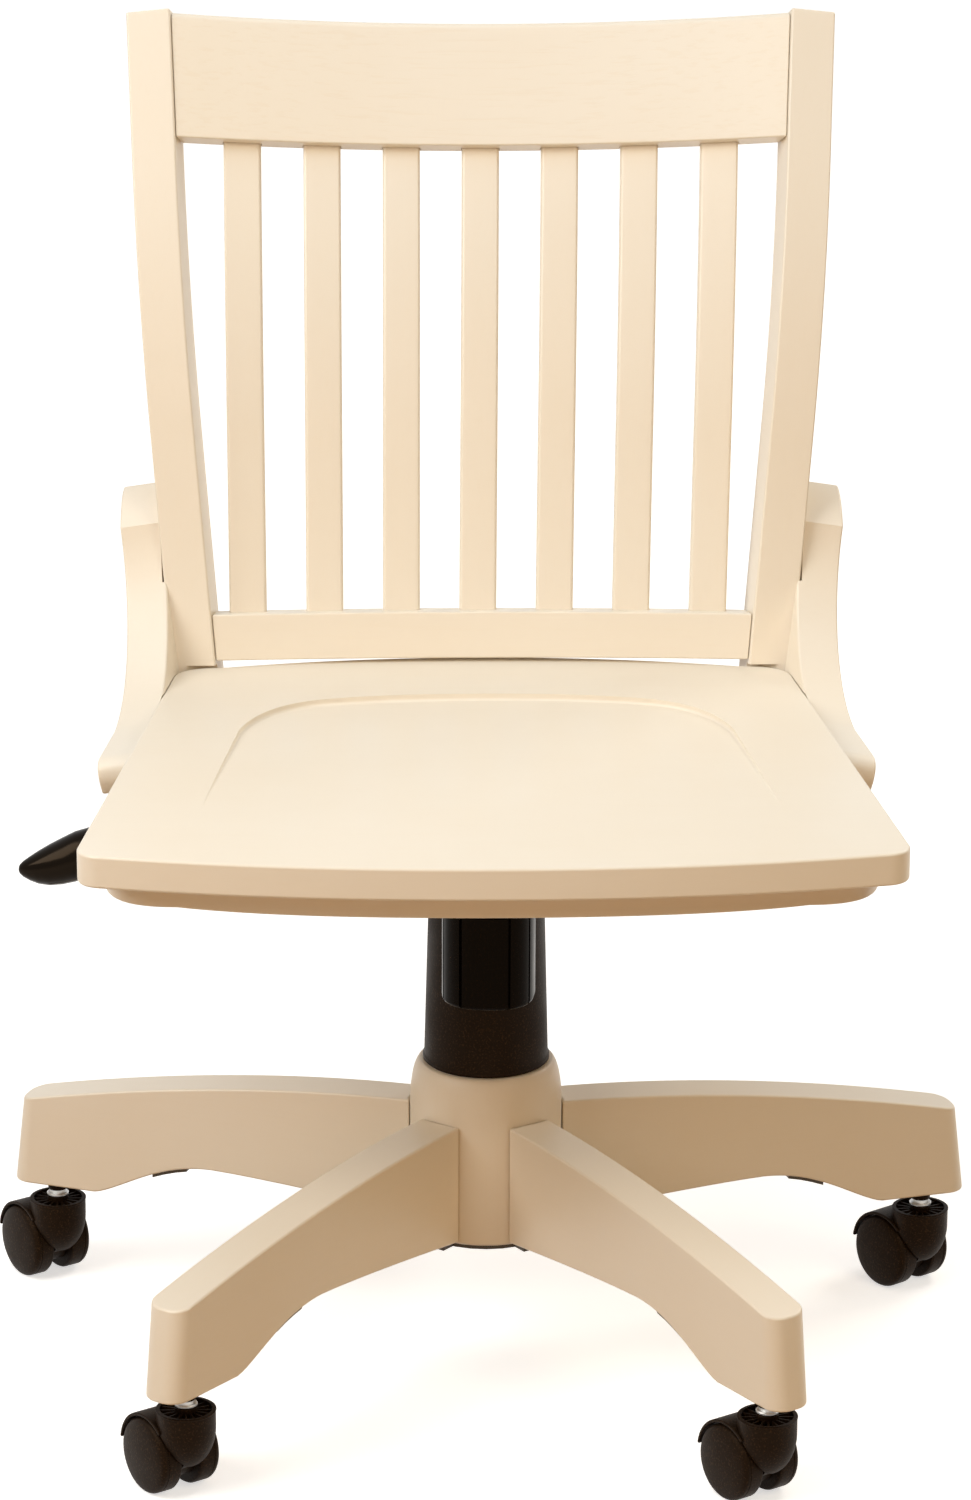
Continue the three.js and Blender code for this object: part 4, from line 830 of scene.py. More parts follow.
def caster_hood():
    """Hood of a caster: ribbed cup, arch over both wheels, web between them, axle."""
    caster = chair("casters")
    clearance, arch_wall, cup_wall, lip = 0.0013, 0.002, 0.0022, 0.0006
    waist_drop, above, arch_start, arch_end, axle, axle_half = 0.012, 0.006, 50, 172, 0.003, 0.018
    room = caster.wheel_radius + clearance
    arch = room + arch_wall
    rim, chin, top, floor = caster.cup_radius, caster.cup_chin, caster.hood_top, caster.cup_floor
    waist = top - waist_drop
    profile = [(lip, chin)]
    for angle in spread(0, math.pi / 2, 12)[1:]:
        profile.append((rim * math.sin(angle), waist - (waist - chin) * math.cos(angle)))
    profile += [(rim, top - 2 * lip), (rim + lip / 2, top - 1.5 * lip), (rim + lip / 2, top - lip / 2)]
    hood = turned("hood_blank", [*profile, (rim - lip / 2, top)], segments=72)
    cut(hood, axle_drum("wheel_room", room, caster.fender_width))
    web_half, half = caster.wheel_inner - FIT, caster.fender_width / 2
    web = axle_drum("web", caster.trail, web_half)
    neck = [(-0.012, 0.014), (0.004, 0.0195), (0.013, 0.030), (0.0165, 0.0425), (-0.002, 0.0425)]
    bridge = board("bridge", [*neck, (-0.012, 0.030)], -web_half, web_half, "X")
    fender = board("fender", fender_outline(room, arch, arch_start, arch_end), -half, half, "X")
    round_edges(fender, caster.fender_edge)
    cut(hood, fender, web, bridge, operation="UNION")
    inside, rib_half, rib_start, rib_top, overlap = rim - cup_wall, 0.0005, 0.006, 0.0551, 0.001
    bowl = turned("bowl", [(inside, floor), (inside, top + above)], segments=72)
    cut(bowl, axle_drum("arch_top", arch, caster.fender_width))
    cut(hood, bowl)
    edge, crown = caster.boss_radius, caster.boss_top
    boss_side = [(edge, floor - 4 * overlap), (edge, crown - lip), (edge - lip, crown)]
    boss = turned("boss", boss_side, segments=48)
    ribs = []
    for index in range(CUP_RIBS):
        rib = block("rib", (-rib_half, rib_start, floor - 2 * overlap), (rib_half, inside + overlap, rib_top))
        settle(rib, Matrix.Rotation(2 * math.pi / CUP_RIBS * (index + 0.5), 4, "Z"))
        ribs.append(cut(rib, axle_drum("arch_top", arch - overlap, caster.fender_width)))
    pick(ribs[0])
    for rib in ribs:
        rib.select_set(True)
    bpy.ops.object.join()
    cut(hood, ribs[0], boss, axle_drum("axle", axle, axle_half, 32), operation="UNION")
    bore, stem_end, past_boss = caster.stem_radius + FIT, 0.0387, 0.07
    return cut(hood, turned("stem_room", [(bore, stem_end), (bore, past_boss)]))


def caster_stem():
    """Bright stem with the ring that sits on the hood's boss."""
    caster = chair("casters")
    stem, ring, low = caster.stem_radius, caster.ring_radius, caster.boss_top + FIT
    ease, foot, high, top = 0.0006, 0.039, low + 0.0019, caster.sleeve_bottom + 0.001
    profile = [(stem - ease, foot), (stem, foot + ease), (stem, low), (ring - ease, low), (ring, low + ease)]
    profile += [(ring, high - ease), (ring - ease, high), (stem, high), (stem, top)]
    return turned("stem_blank", [*profile, (stem - ease, top + ease)], segments=56)


def socket_sleeve():
    """Black sleeve in the leg, which hangs out below the foot and holds the stem."""
    caster = chair("casters")
    bore, sleeve, low = caster.stem_radius + FIT / 3, caster.sleeve_radius, caster.sleeve_bottom
    ease, top = 0.0004, 0.1
    profile = [(bore, low), (sleeve - ease, low), (sleeve, low + ease), (sleeve, top - ease)]
    return turned("sleeve_blank", [*profile, (sleeve - ease, top), (bore, top)], segments=56, ring=True)


# Degrees that each caster is swung round its stem; the third one's are guessed, as it is hidden
CASTER_HEADINGS = (145, 146, 150, 143, 146)


class CHAIR_OT_casters(bpy.types.Operator):
    """Moulds one twin-wheel caster and sets a copy under each leg"""

    bl_idname = "chair.casters"
    bl_label = "Casters"

    def execute(self, context):
        circle = chair("casters").circle
        wheel, hood, stem, sleeve = caster_wheel(), caster_hood(), caster_stem(), socket_sleeve()
        far_wheel = mirrored(wheel, "wheel_blank_right")
        for index, heading in enumerate(CASTER_HEADINGS):
            number, angle = index + 1, leg_heading(index)
            x, y = -circle * math.sin(angle), -circle * math.cos(angle)
            place = heading_matrix(x, y, math.radians(heading))
            left, right, holder = f"wheel_{number}_left", f"wheel_{number}_right", f"caster_stem_{number}"
            rows = (
                (stem, f"stem_{number}", "bright_steel", "base", holder),
                (sleeve, f"sleeve_{number}", "moulding", "base", holder),
                (hood, f"hood_{number}", "moulding", f"caster_{number}", f"caster_hood_{number}"),
                (wheel, left, "moulding", left, f"caster_{left}"),
                (far_wheel, right, "moulding", right, f"caster_{right}"),
            )
            for blank, name, material, body, node in rows:
                dress(copied(blank, name, place), material, body, node)
        for blank in (wheel, far_wheel, hood, stem, sleeve):
            bpy.data.objects.remove(blank)
        return {"FINISHED"}


# Column: dust cover, knob, spring and lever


def cover_profile(bottom, bottom_radius, top, top_radius, wall, lip=0.0):
    """One sleeve of the dust cover, with a raised lip round its foot where it has one."""
    ease, lip_top, lip_fade = wall / 3, 0.003, 0.0038
    foot = [(bottom_radius + lip, bottom + ease)]
    if lip:
        foot += [(bottom_radius + lip, bottom + lip_top), (bottom_radius, bottom + lip_fade)]
    inner = top_radius - wall
    rim = [(top_radius, top - ease), (top_radius - ease, top), (inner + ease, top), (inner, top - ease)]
    return [(bottom_radius - wall, bottom), (bottom_radius + lip - ease, bottom), *foot, *rim]


class CHAIR_OT_dust_cover(bpy.types.Operator):
    """Moulds the three sleeves of the telescopic dust cover"""

    bl_idname = "chair.dust_cover"
    bl_label = "Dust cover"

    def execute(self, context):
        column, bottom = chair("column"), chair("base").hub_top + FIT
        foot, rim, middle, upper = column.cover_radius, column.cover_top_radius, 0.034, 0.0312
        thick, thin, lip = 0.0018, 0.0015, 0.0008
        # Name, then the foot's height and radius, the rim's height and radius, wall and lip
        stages = (
            ("lower", (bottom, foot, column.cover_top, rim, thick, lip), "base"),
            ("middle", (bottom, middle, 0.303, middle, thin), "cover_stage"),
            ("upper", (0.203, upper, 0.3107, upper, thin), "lift_column"),
        )
        for name, sizes, body in stages:
            sleeve = turned(f"cover_{name}", cover_profile(*sizes), segments=112, ring=True)
            dress(sleeve, "moulding", body, f"dust_cover_{name}", angle=50)
        return {"FINISHED"}


class CHAIR_OT_tension(bpy.types.Operator):
    """Makes the tension knob with its grips, and the spring above it"""

    bl_idname = "chair.tension"
    bl_label = "Tension knob and spring"

    def execute(self, context):
        column = chair("column")
        face, low, top, y = column.knob_face, column.knob_bottom, column.knob_top, column.bolt_y
        floor, bore, bolt, ease = low + 0.010, 0.021, 0.0043, 0.0008
        foot = [(0.0040, 0), (0.0026, 0.0002), (0.0014, 0.0008), (0.0005, 0.0018), (0, 0.0034)]
        profile = [(bolt, low)] + [(face - inset, low + rise) for inset, rise in foot]
        profile += [(face, top - ease), (face - ease, top), (bore + ease, top), (bore, top - ease)]
        profile += [(bore, floor), (bolt, floor)]
        knob = bend(turned("knob", profile, segments=160, ring=True), self.squared)
        angle, half, over, depth = column.knob_lobe, column.knob_groove / 2, 0.01, 0.0016
        root, past = self.radius_at(angle) - depth, column.knob_corner + over / 2
        for quarter in range(4):
            for side in (-angle, angle):
                groove = block("groove", (root, -half, low - over), (past, half, top + over))
                settle(groove, Matrix.Rotation(math.pi / 2 * quarter + side, 4, "Z"))
                cut(knob, groove)
        round_edges(knob, column.knob_edge, angle=40)
        settle(knob, Matrix.Translation((0, y, 0)) @ Matrix.Rotation(column.knob_turn, 4, "Z"))
        dress(knob, "knob_black", "knob", "tension_knob", angle=28)
        self.make_spring(floor, y)
        return {"FINISHED"}

    def radius_at(self, angle):
        """Outer radius of the knob, from the middle of a wide grip."""
        column = chair("column")
        return column.knob_face + (column.knob_corner - column.knob_face) * math.sin(2 * angle) ** 2

    def squared(self, x, y, z):
        """Pushes a round cup out towards its four narrow grips, and leaves its bore round."""
        radius, bore, face = math.hypot(x, y), 0.0218, chair("column").knob_face
        share_out = max(radius - bore, 0) / (face - bore)
        push = (self.radius_at(math.atan2(y, x)) - face) * share_out
        return Vector((x, y, 0)) * (1 + push / radius) + Vector((0, 0, z))

    def make_spring(self, floor_top, y):
        """A round wire swept up a helix by the screw modifier, with its ends closed."""
        wire, radius, turns, ceiling = 0.0023, 0.015, 6, 0.342 - FIT
        low, high = floor_top + FIT + wire, ceiling - wire
        place = {"location": (radius, 0, 0), "rotation": (math.pi / 2, 0, 0)}
        spring = added("spring", "circle", vertices=14, radius=wire, **place)
        settle(spring)
        count = 32 * turns
        helix = {"axis": "Z", "angle": 2 * math.pi * turns, "screw_offset": high - low, "iterations": 1}
        modify(spring, "SCREW", steps=count, render_steps=count, use_merge_vertices=False, **helix)
        edit(spring, "EDGE")
        bpy.ops.mesh.select_all(action="DESELECT")
        bpy.ops.mesh.select_non_manifold()
        bpy.ops.mesh.edge_face_add()
        leave_edit()
        settle(spring, Matrix.Translation((0, y, low)))
        face_out(spring)
        dress(spring, "enamel", "lift_column", "tension_spring")
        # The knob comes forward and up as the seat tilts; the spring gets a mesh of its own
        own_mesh(spring)


def swept(name, stations, radius_y, radius_z, sides=32):
    """An oval section drawn along X through its stations, each [x, height, scale]."""
    x, z, scale = stations[0]
    place = {"location": (x, 0, z), "rotation": (0, math.pi / 2, 0)}
    piece = added(name, "circle", vertices=sides, radius=1, fill_type="NGON", **place)
    settle(piece)
    edit(piece)
    bpy.ops.transform.resize(value=(1, radius_y * scale, radius_z * scale), center_override=(x, 0, z))
    for next_x, next_z, next_scale in stations[1:]:
        bpy.ops.mesh.extrude_region_move(TRANSFORM_OT_translate={"value": (next_x - x, 0, next_z - z)})
        change = next_scale / scale
        bpy.ops.transform.resize(value=(1, change, change), center_override=(next_x, 0, next_z))
        x, z, scale = next_x, next_z, next_scale
    leave_edit()
    face_out(piece)
    return piece


class CHAIR_OT_lever(bpy.types.Operator):
    """Bends the height lever's rod and moulds its paddle"""

    bl_idname = "chair.lever"
    bl_label = "Height lever"

    def execute(self, context):
        z, low, radius, bend_ease, bend_fall = chair("column").lever_z, 0.340, 0.0035, 0.0009, 0.0026
        crank = [
            (0.005, z, 0.8), (0.0045, z, 1), (-0.052, z, 1), (-0.0565, z - bend_ease, 1),
            (-0.060, z - bend_fall, 1), (-0.074, low + bend_fall, 1), (-0.0775, low + bend_ease, 1),
            (-0.082, low, 1), (-0.223, low, 1),
        ]
        dress(swept("lever_shaft", crank, radius, radius), "enamel", "height_lever", "lever_rod")
        blade = [
            (-0.2088, 0.3402, 0.45), (-0.2092, 0.3400, 0.54), (-0.216, 0.3385, 0.64), (-0.2285, 0.3350, 0.80),
            (-0.240, 0.3313, 0.93), (-0.248, 0.3288, 0.985), (-0.256, 0.3262, 1.0), (-0.264, 0.3233, 0.93),
            (-0.272, 0.3208, 0.82), (-0.279, 0.3192, 0.66), (-0.2845, 0.3184, 0.48), (-0.2885, 0.3181, 0.32),
            (-0.2908, 0.3180, 0.18), (-0.2915, 0.3180, 0.08),
        ]
        half_width, half_height, socket = 0.0145, 0.016, (-0.2035, -0.2235)
        paddle = swept("paddle", blade, half_width, half_height, 36)
        cut(paddle, bar("shaft_room", radius + FIT, *((x, 0, low) for x in socket), 32))
        dress(paddle, "gloss_black", "height_lever", "lever_paddle", angle=50)
        return {"FINISHED"}


# Seat


def mirror_outline(half):
    return half + [(-x, y) for x, y in half[-2:0:-1]]


def seat_taper():
    """How much the seat narrows for each metre towards its rear."""
    seat = chair("seat")
    return (seat.front_half - seat.rear_half) / (seat.rear_corner_y - seat.corner_y)


def seat_outline(grow=0.0):
    """The seat board from above; a grown one is the room that it needs."""
    seat = chair("seat")
    half, rear_half = seat.front_half + grow, seat.rear_half + grow
    shoulder_x = seat.rear_half - seat.shoulder
    front, rear, radius = seat.front - grow, seat.rear + grow, seat.corner_radius
    start, corner = (0, front), (half - radius, front + seat.front_sag)
    points = [start, *bezier(start, (seat.front_half / 2, front), corner, steps=20)]
    points += bezier(corner, (half, seat.corner_y - radius), (half, seat.corner_y))
    points.append((rear_half, seat.rear_corner_y))
    pull = (rear_half - seat_taper() * radius, seat.shoulder_y - FIT + grow)
    shoulder = (shoulder_x, seat.shoulder_y + grow)
    points += bezier(points[-1], pull, shoulder, steps=10)
    return mirror_outline(points + bezier(shoulder, (shoulder_x / 2, rear), (0, rear), steps=16))


def lower_board_outline():
    seat = chair("seat")
    side, front_inset, rear_inset = 0.014, 0.024, 0.012
    corner_inset, corner_y, corner_end = 0.058, -0.203, -0.158
    half, rear_half = seat.front_half - side, seat.rear_half - side
    shoulder_x = seat.rear_half - seat.shoulder
    front, rear = seat.front + front_inset, seat.rear - rear_inset
    start, corner = (0, front), (seat.front_half - corner_inset, corner_y)
    points = [start, *bezier(start, (corner[0] * 2 / 3, front), corner, steps=18)]
    points += bezier(corner, (half, corner[1]), (half, corner_end))
    points.append((rear_half, seat.rear_corner_y - rear_inset))
    shoulder = (shoulder_x, seat.shoulder_y - rear_inset)
    points += bezier(points[-1], (rear_half, shoulder[1]), shoulder, steps=10)
    return mirror_outline(points + bezier(shoulder, (shoulder_x / 2, rear), (0, rear), steps=14))


def hollow_cutter():
    """The hollow is deepest at its rear line and fades out forwards."""
    seat = chair("seat")
    front, rear, corner_y, above = seat.dish_front, seat.dish_rear, seat.dish_corner_y, 0.02
    corner = (seat.dish_rear_half / 2 + seat.dish_waist_half / 4, (corner_y + rear) / 2)
    waist = (seat.dish_waist_half, seat.dish_waist_y)
    pull = ((seat.dish_waist_half + seat.dish_rear_half) / 2, corner_y)
    half = [(0, front), (seat.dish_front_half, front), waist, *bezier(waist, pull, corner, steps=22)]
    half += bezier(corner, (seat.dish_rear_half / 2, rear), (0, rear), steps=22)
    cutter = board("hollow", mirror_outline(half), 0, above, "Z")
    bevel_lines(cutter, 0.002, 4, lambda a, b: max(a.z, b.z) < FIT and max(a.y, b.y) > front + FIT)
    slope = Matrix.Rotation(-math.atan2(seat.dish_depth, rear - front), 4, "X")
    hinge = Vector((0, front, 0))
    lift = Matrix.Translation(hinge + Vector((0, 0, seat.top)))
    settle(cutter, lift @ slope @ Matrix.Translation(-hinge))
    return cutter


class CHAIR_OT_seat(bpy.types.Operator):
    """Saws the seat with its saddle hollow and the board below it"""

    bl_idname = "chair.seat"
    bl_label = "Seat"

    def execute(self, context):
        seat, body = chair("seat"), "seat_and_back"
        joint = seat.top - seat.thickness
        top_board = board("saddle_seat", seat_outline(), joint, seat.top, "Z")
        round_edges(top_board, seat.edge, 4, 50)
        cut(top_board, hollow_cutter())
        dress(top_board, "paint_across", body, "seat_board", angle=25)
        low = joint - seat.under_thickness
        lower = board("lower_board", lower_board_outline(), low, joint - FIT, "Z")
        round_edges(lower, seat.under_edge, angle=50)
        pocket, below, depth, bolt = 0.011, 0.01, 0.008, (0, chair("column").bolt_y)
        cut(lower, turned("bolt_pocket", [(pocket, low - below), (pocket, low + depth)], bolt, segments=48))
        dress(lower, "paint_across", body, "seat_underboard", angle=30)
        return {"FINISHED"}


# Back


def back_profile(along):
    """Front face of the back from the side: straight, then a bend, then straight to the top."""
    back = chair("back")
    start, end = back.low_recline, back.high_recline
    radius = (back.bend_end - back.bend_start) / (end - start)
    straight = min(along, back.bend_start)
    recline = start + max(min(along, back.bend_end) - back.bend_start, 0) / radius
    beyond = max(along - back.bend_end, 0)
    y = straight * math.sin(start) + radius * (math.cos(start) - math.cos(recline)) + beyond * math.sin(end)
    z = straight * math.cos(start) + radius * (math.sin(recline) - math.sin(start)) + beyond * math.cos(end)
    return back.post_front_y + y, back.post_foot_z + z, recline


def behind_profile(along, depth):
    y, z, recline = back_profile(along)
    return y + depth * math.cos(recline), z - depth * math.sin(recline)


def post_inner(y, z):
    """Inner faces of the posts: they splay with height and close in with depth."""
    back, seat = chair("back"), chair("seat")
    inner = seat.rear_half - back.post_inset
    return inner + back.post_splay * (z - back.post_foot_z) - seat_taper() * (y - back.post_front_y)


def back_point(x, along, depth):
    """A point of the bent back, whose middle lies behind the posts."""
    back = chair("back")
    y, z, _ = back_profile(along)
    bow = back.rail_bow + (back.crest_bow - back.rail_bow) * along / back.post_length
    set_back = bow * (1 - (x / post_inner(y, z)) ** 2)
    y, z = behind_profile(along, depth + set_back)
    return Vector((x, y, z))


def lean(piece, per_height, zero_height, per_depth, zero_depth, x):
    """Leans a board sideways with height and across with depth."""
    shift = x - per_height * zero_height - per_depth * zero_depth
    rows = ((1, per_depth, per_height, shift), (0, 1, 0, 0), (-per_height, 0, 1, 0), (0, 0, 0, 1))
    piece.data.transform(Matrix(rows))
    return piece


def post_outline(steps=40):
    back = chair("back")
    stations = spread(0, back.post_length, steps)
    outline = [behind_profile(-back.post_tail, 0), behind_profile(-back.post_tail, back.post_depth)]
    outline += [behind_profile(along, back.post_depth) for along in stations]
    return outline + [behind_profile(along, 0) for along in reversed(stations)]


def post_board(name, grow=0.0):
    """The left post, leaned into place; a grown one is the room that it needs."""
    back, seat = chair("back"), chair("seat")
    post = board(name, post_outline(), -grow, back.post_width + grow, "X")
    if not grow:
        round_edges(post, back.edge, angle=50)
    inner = seat.rear_half - back.post_inset
    return lean(post, back.post_splay, back.post_foot_z, -seat_taper(), back.post_front_y, inner)


def bent_rail(name, bottom, height, thickness, top_edge, cuts_up):
    """A straight board, sliced into forty lengths and bent between the posts."""
    back, half, top = chair("back"), 0.2, bottom + height
    rail = block(name, (-half, 0, bottom), (half, thickness, top), 39, cuts_up)
    if top_edge:
        bevel_lines(rail, top_edge, 6, lambda a, b: min(a.z, b.z) > top - FIT and max(a.y, b.y) < FIT)
    round_edges(rail, back.edge, angle=50)

    def place(x, depth, along):
        spot = behind_profile(along, back.rail_inset + depth)
        return back_point(x / half * (post_inner(*spot) - FIT), along, back.rail_inset + depth)

    return bend(rail, place)


def slat_board(index, grow=0.0):
    """One slat with its tenons; a grown one is the room that it needs in the rails."""
    back = chair("back")
    low = back.rail_bottom + back.rail_height - back.slat_tenon
    high = back.crest_bottom + back.slat_tenon
    order = index - (SLATS - 1) / 2
    half, front = back.slat_width / 2 + grow, back.rail_inset + back.slat_inset
    corner = (half, front + back.slat_thickness + grow, high + grow)
    slat = block(f"back_slat_{index + 1}", (-half, front - grow, low - grow), corner, 2, 28)
    round_edges(slat, back.slat_edge, angle=50)

    def place(x, depth, along):
        share_up = (along - low) / (high - low)
        pitch = back.slat_pitch_low + (back.slat_pitch_high - back.slat_pitch_low) * share_up
        return back_point(order * pitch + back.slat_lean * (share_up - 1) + x, along, depth)

    return bend(slat, place)


def bracket_outline():
    """A foot along the seat's edge that rises in a swan's neck to the post."""
    front, bottom, toe, round_toe = -0.008, 0.372, 0.394, 0.012
    waist_y, heel_y, throat, sole = 0.056, 0.158, 0.048, 0.062
    knuckle, top, rear = (0.172, 0.494), (0.203, 0.513), (0.210, 0.475)
    belly = (rear[0], (bottom + rear[1]) / 2)
    crown = ((top[0] + knuckle[0]) / 2, top[1] - round_toe / 4)
    neck = (knuckle[0] - round_toe / 2, knuckle[1] - throat), (waist_y + sole, toe + round_toe / 2)
    points = [(front + round_toe / 4, bottom), (heel_y, bottom)]
    points += bezier(points[-1], (top[0], bottom), belly, rear, steps=22)
    points += bezier(rear, (rear[0], top[1]), top, steps=8) + bezier(top, crown, knuckle, steps=6)
    points += bezier(knuckle, *neck, (waist_y, toe), steps=24)
    points.append((front + round_toe, toe))
    nose = (front - round_toe / 4, toe), (front, bottom + (toe - bottom) / 3)
    return points + bezier(points[-1], *nose, steps=8)


def bracket_board():
    """The left bracket: its inner face lies on the seat's edge below and on the post above."""
    back, seat = chair("back"), chair("seat")
    level = seat.top - seat.thickness / 2
    contact_y, contact_z, post_gap = 0.203, 0.5035, 0.001

    def seat_edge(y):
        return seat.front_half - seat_taper() * (y - seat.corner_y)

    outer = post_inner(contact_y, contact_z) + back.post_width + FIT
    tilt = (outer - seat_edge(contact_y) - FIT + back.bracket_rebate) / (contact_z - level)
    bracket = board("bracket_left", bracket_outline(), 0, back.bracket_thickness, "X")
    round_edges(bracket, back.bracket_edge, angle=40)
    lean(bracket, tilt, level, -seat_taper(), 0, seat_edge(0) + FIT - back.bracket_rebate)
    seat_room = board("seat_room", seat_outline(FIT), seat.top - seat.thickness - FIT, seat.top + FIT, "Z")
    return cut(bracket, seat_room, post_board("post_room", post_gap))


class CHAIR_OT_back(bpy.types.Operator):
    """Bends the crest, the lower rail and the slats between the two posts"""

    bl_idname = "chair.back"
    bl_label = "Back"

    def execute(self, context):
        back, top, body = chair("back"), chair("seat").top, "seat_and_back"
        left = post_board("post_left")
        below, gap, gap_low, gap_high = 0.06, 0.0032, 0.006, 0.0018
        seat_room = board("seat_room", seat_outline(FIT), top - below, top + FIT, "Z")
        cut(left, seat_room, board("foot_gap", seat_outline(gap), top - gap_low, top + gap_high, "Z"))
        right = mirrored(left, "post_right")
        dress(left, "paint_upright", body, "left_post")
        dress(right, "paint_upright", body, "right_post")
        height, thickness, crest_play = back.crest_height, back.crest_thickness, 0.0005
        crest = bent_rail("crest_board", back.crest_bottom, height, thickness, back.crest_edge, 7)
        rail = bent_rail("low_rail", back.rail_bottom, back.rail_height, back.rail_thickness, 0, 2)
        for index in range(SLATS):
            cut(crest, slat_board(index, crest_play))
            cut(rail, slat_board(index, FIT))
            dress(slat_board(index), "paint_upright", body, f"slat_{index + 1}")
        dress(crest, "paint_crest", body, "crest_rail", angle=28)
        dress(rail, "paint_across", body, "lower_rail", angle=28)
        return {"FINISHED"}


class CHAIR_OT_brackets(bpy.types.Operator):
    """Saws the two swan-neck brackets that hold the back to the seat"""

    bl_idname = "chair.brackets"
    bl_label = "Side brackets"

    def execute(self, context):
        left = bracket_board()
        right = mirrored(left, "bracket_right")
        dress(left, "paint_upright", "seat_and_back", "left_bracket")
        dress(right, "paint_upright", "seat_and_back", "right_bracket")
        return {"FINISHED"}


# Studio


def camera_only(tree, lit, seen):
    """Mixes two shaders: what lights the chair, and what the camera and glossy things see."""
    path = new_node(tree, "LightPath").outputs
    pair = {0: path["Is Glossy Ray"], 1: path["Is Transmission Ray"]}
    glossy = new_node(tree, "Math", pair, operation="MAXIMUM").outputs[0]
    either = new_node(tree, "Math", {0: path["Is Camera Ray"], 1: glossy}, operation="MAXIMUM").outputs[0]
    return new_node(tree, "MixShader", {0: either, 1: lit, 2: seen}).outputs[0]


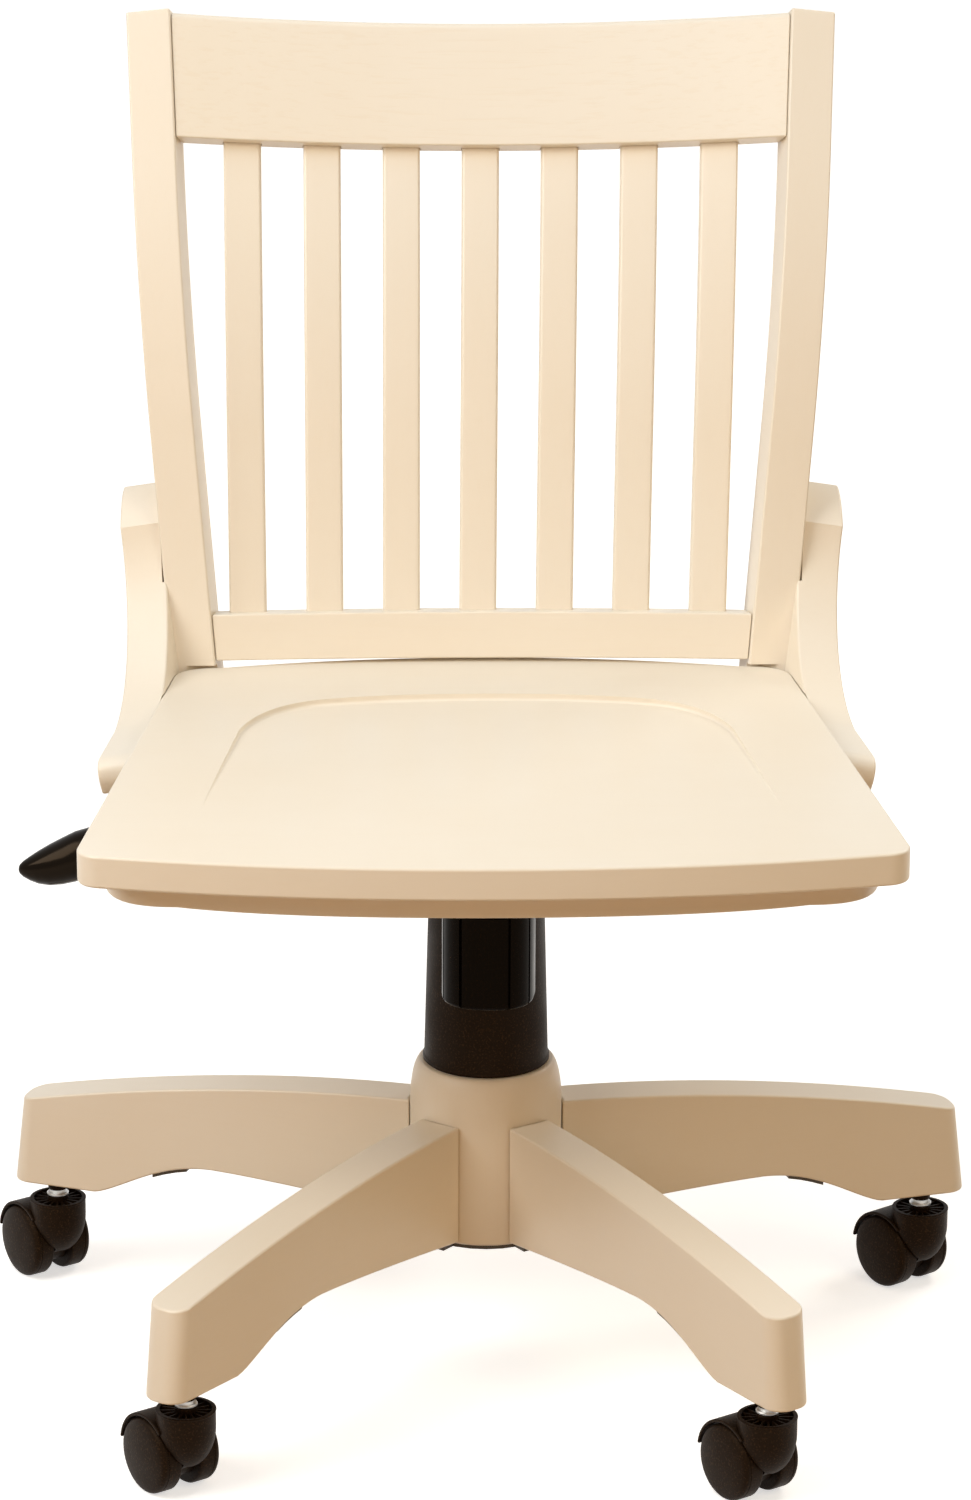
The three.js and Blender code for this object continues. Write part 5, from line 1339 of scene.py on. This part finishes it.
class CHAIR_OT_studio(bpy.types.Operator):
    """Sets the pale floor, the soft lights and the camera"""

    bl_idname = "chair.studio"
    bl_label = "Studio"

    def execute(self, context):
        studio = chair("studio")
        self.make_floor(studio)
        self.make_world(studio)
        self.make_lights(studio)
        data = bpy.data.cameras.new("camera")
        data.lens = studio.lens
        data.sensor_width = 36
        data.sensor_fit = "AUTO"
        data.clip_end = 60
        camera = bpy.data.objects.new("camera", data)
        context.scene.collection.objects.link(camera)
        camera.location = studio.camera_place
        turn = Matrix.Rotation(-studio.camera_turn, 4, "Z")
        pitch = Matrix.Rotation(math.pi / 2 - studio.camera_pitch, 4, "X")
        roll = Matrix.Rotation(studio.camera_roll, 4, "Z")
        camera.rotation_euler = (turn @ pitch @ roll).to_euler()
        context.scene.camera = camera
        context.scene.view_settings.view_transform = "Standard"
        return {"FINISHED"}

    def make_floor(self, studio):
        """Pale to the camera, with the chair's shadow; what it gives back to the chair is dimmer."""
        floor = added("studio_floor", "circle", vertices=96, radius=16, fill_type="NGON")
        tree, shader, place = principled("studio_floor")
        floor.data.materials.append(bpy.data.materials["studio_floor"])
        feed(tree, shader, {"Base Color": studio.bounce, "Roughness": 0.9})
        pale = new_node(tree, "BsdfDiffuse", {"Color": studio.floor}).outputs[0]
        distance = new_node(tree, "VectorMath", {0: place}, operation="LENGTH").outputs["Value"]
        near, far, dim, full = 0.7, 2.6, 0.62, 1.0
        strength = ranged(tree, distance, near, far, dim, full)
        glow = new_node(tree, "Emission", {"Strength": strength}).outputs[0]
        seen = new_node(tree, "AddShader", {0: pale, 1: glow}).outputs[0]
        feed(tree, tree.nodes["Material Output"], {"Surface": camera_only(tree, shader.outputs[0], seen)})

    def make_world(self, studio):
        world = bpy.data.worlds.new("studio_room")
        world.use_nodes = True
        tree = world.node_tree
        lit = feed(tree, tree.nodes["Background"], {"Color": studio.room, "Strength": studio.room_light})
        seen = new_node(tree, "Background", {"Color": (1, 1, 1, 1)})
        mixed_world = camera_only(tree, lit.outputs[0], seen.outputs[0])
        feed(tree, tree.nodes["World Output"], {"Surface": mixed_world})
        bpy.context.scene.world = world

    def make_lights(self, studio):
        panels = (
            ("top_panel", studio.top_light, 2.4, (-0.2, -0.5, 2.8), studio.cool),
            ("key_panel", studio.key_light, 1.3, (-1.45, -0.9, 1.6), studio.plain),
            ("rear_panel", studio.rear_light, 1.2, (1.6, 1.2, 1.9), studio.plain),
            ("right_panel", studio.right_light, 1.2, (1.5, -1.6, 2.0), studio.warm),
            ("front_panel", studio.front_light, 1.6, (0.3, -3.3, 1.0), studio.glow),
        )
        target = Vector((0, 0, 0.4))
        for name, power, size, place, tint in panels:
            data = bpy.data.lights.new(name, "AREA")
            data.energy = power
            data.size = size
            data.color = tint[:3]
            lamp = bpy.data.objects.new(name, data)
            bpy.context.scene.collection.objects.link(lamp)
            lamp.location = place
            lamp.rotation_euler = (target - Vector(place)).to_track_quat("-Z", "Y").to_euler()


# Add-on


OPERATORS = (
    CHAIR_OT_finishes,
    CHAIR_OT_base,
    CHAIR_OT_steelwork,
    CHAIR_OT_casters,
    CHAIR_OT_dust_cover,
    CHAIR_OT_tension,
    CHAIR_OT_lever,
    CHAIR_OT_seat,
    CHAIR_OT_back,
    CHAIR_OT_brackets,
    CHAIR_OT_studio,
)


class CHAIR_PT_sidebar(bpy.types.Panel):
    """Lists the chair's steps in the order in which they are made"""

    bl_idname = "CHAIR_PT_sidebar"
    bl_label = "Chair"
    bl_space_type = "VIEW_3D"
    bl_region_type = "UI"
    bl_category = "Chair"

    def draw(self, context):
        for operator in OPERATORS:
            self.layout.operator(operator.bl_idname, text=operator.bl_label)
        for name, group in SETTINGS.items():
            box = self.layout.box()
            box.label(text=group.__doc__)
            for field in group.__annotations__:
                box.prop(getattr(context.scene, name), field)


def register():
    for name, group in SETTINGS.items():
        bpy.utils.register_class(group)
        setattr(bpy.types.Scene, name, PointerProperty(type=group))
    for panel_or_operator in (*OPERATORS, CHAIR_PT_sidebar):
        bpy.utils.register_class(panel_or_operator)


def unregister():
    for panel_or_operator in (CHAIR_PT_sidebar, *reversed(OPERATORS)):
        bpy.utils.unregister_class(panel_or_operator)
    for name, group in reversed(SETTINGS.items()):
        delattr(bpy.types.Scene, name)
        bpy.utils.unregister_class(group)


def main():
    register()
    for operator in OPERATORS:
        group, name = operator.bl_idname.split(".")
        getattr(getattr(bpy.ops, group), name)()


if __name__ == "__main__":
    main()
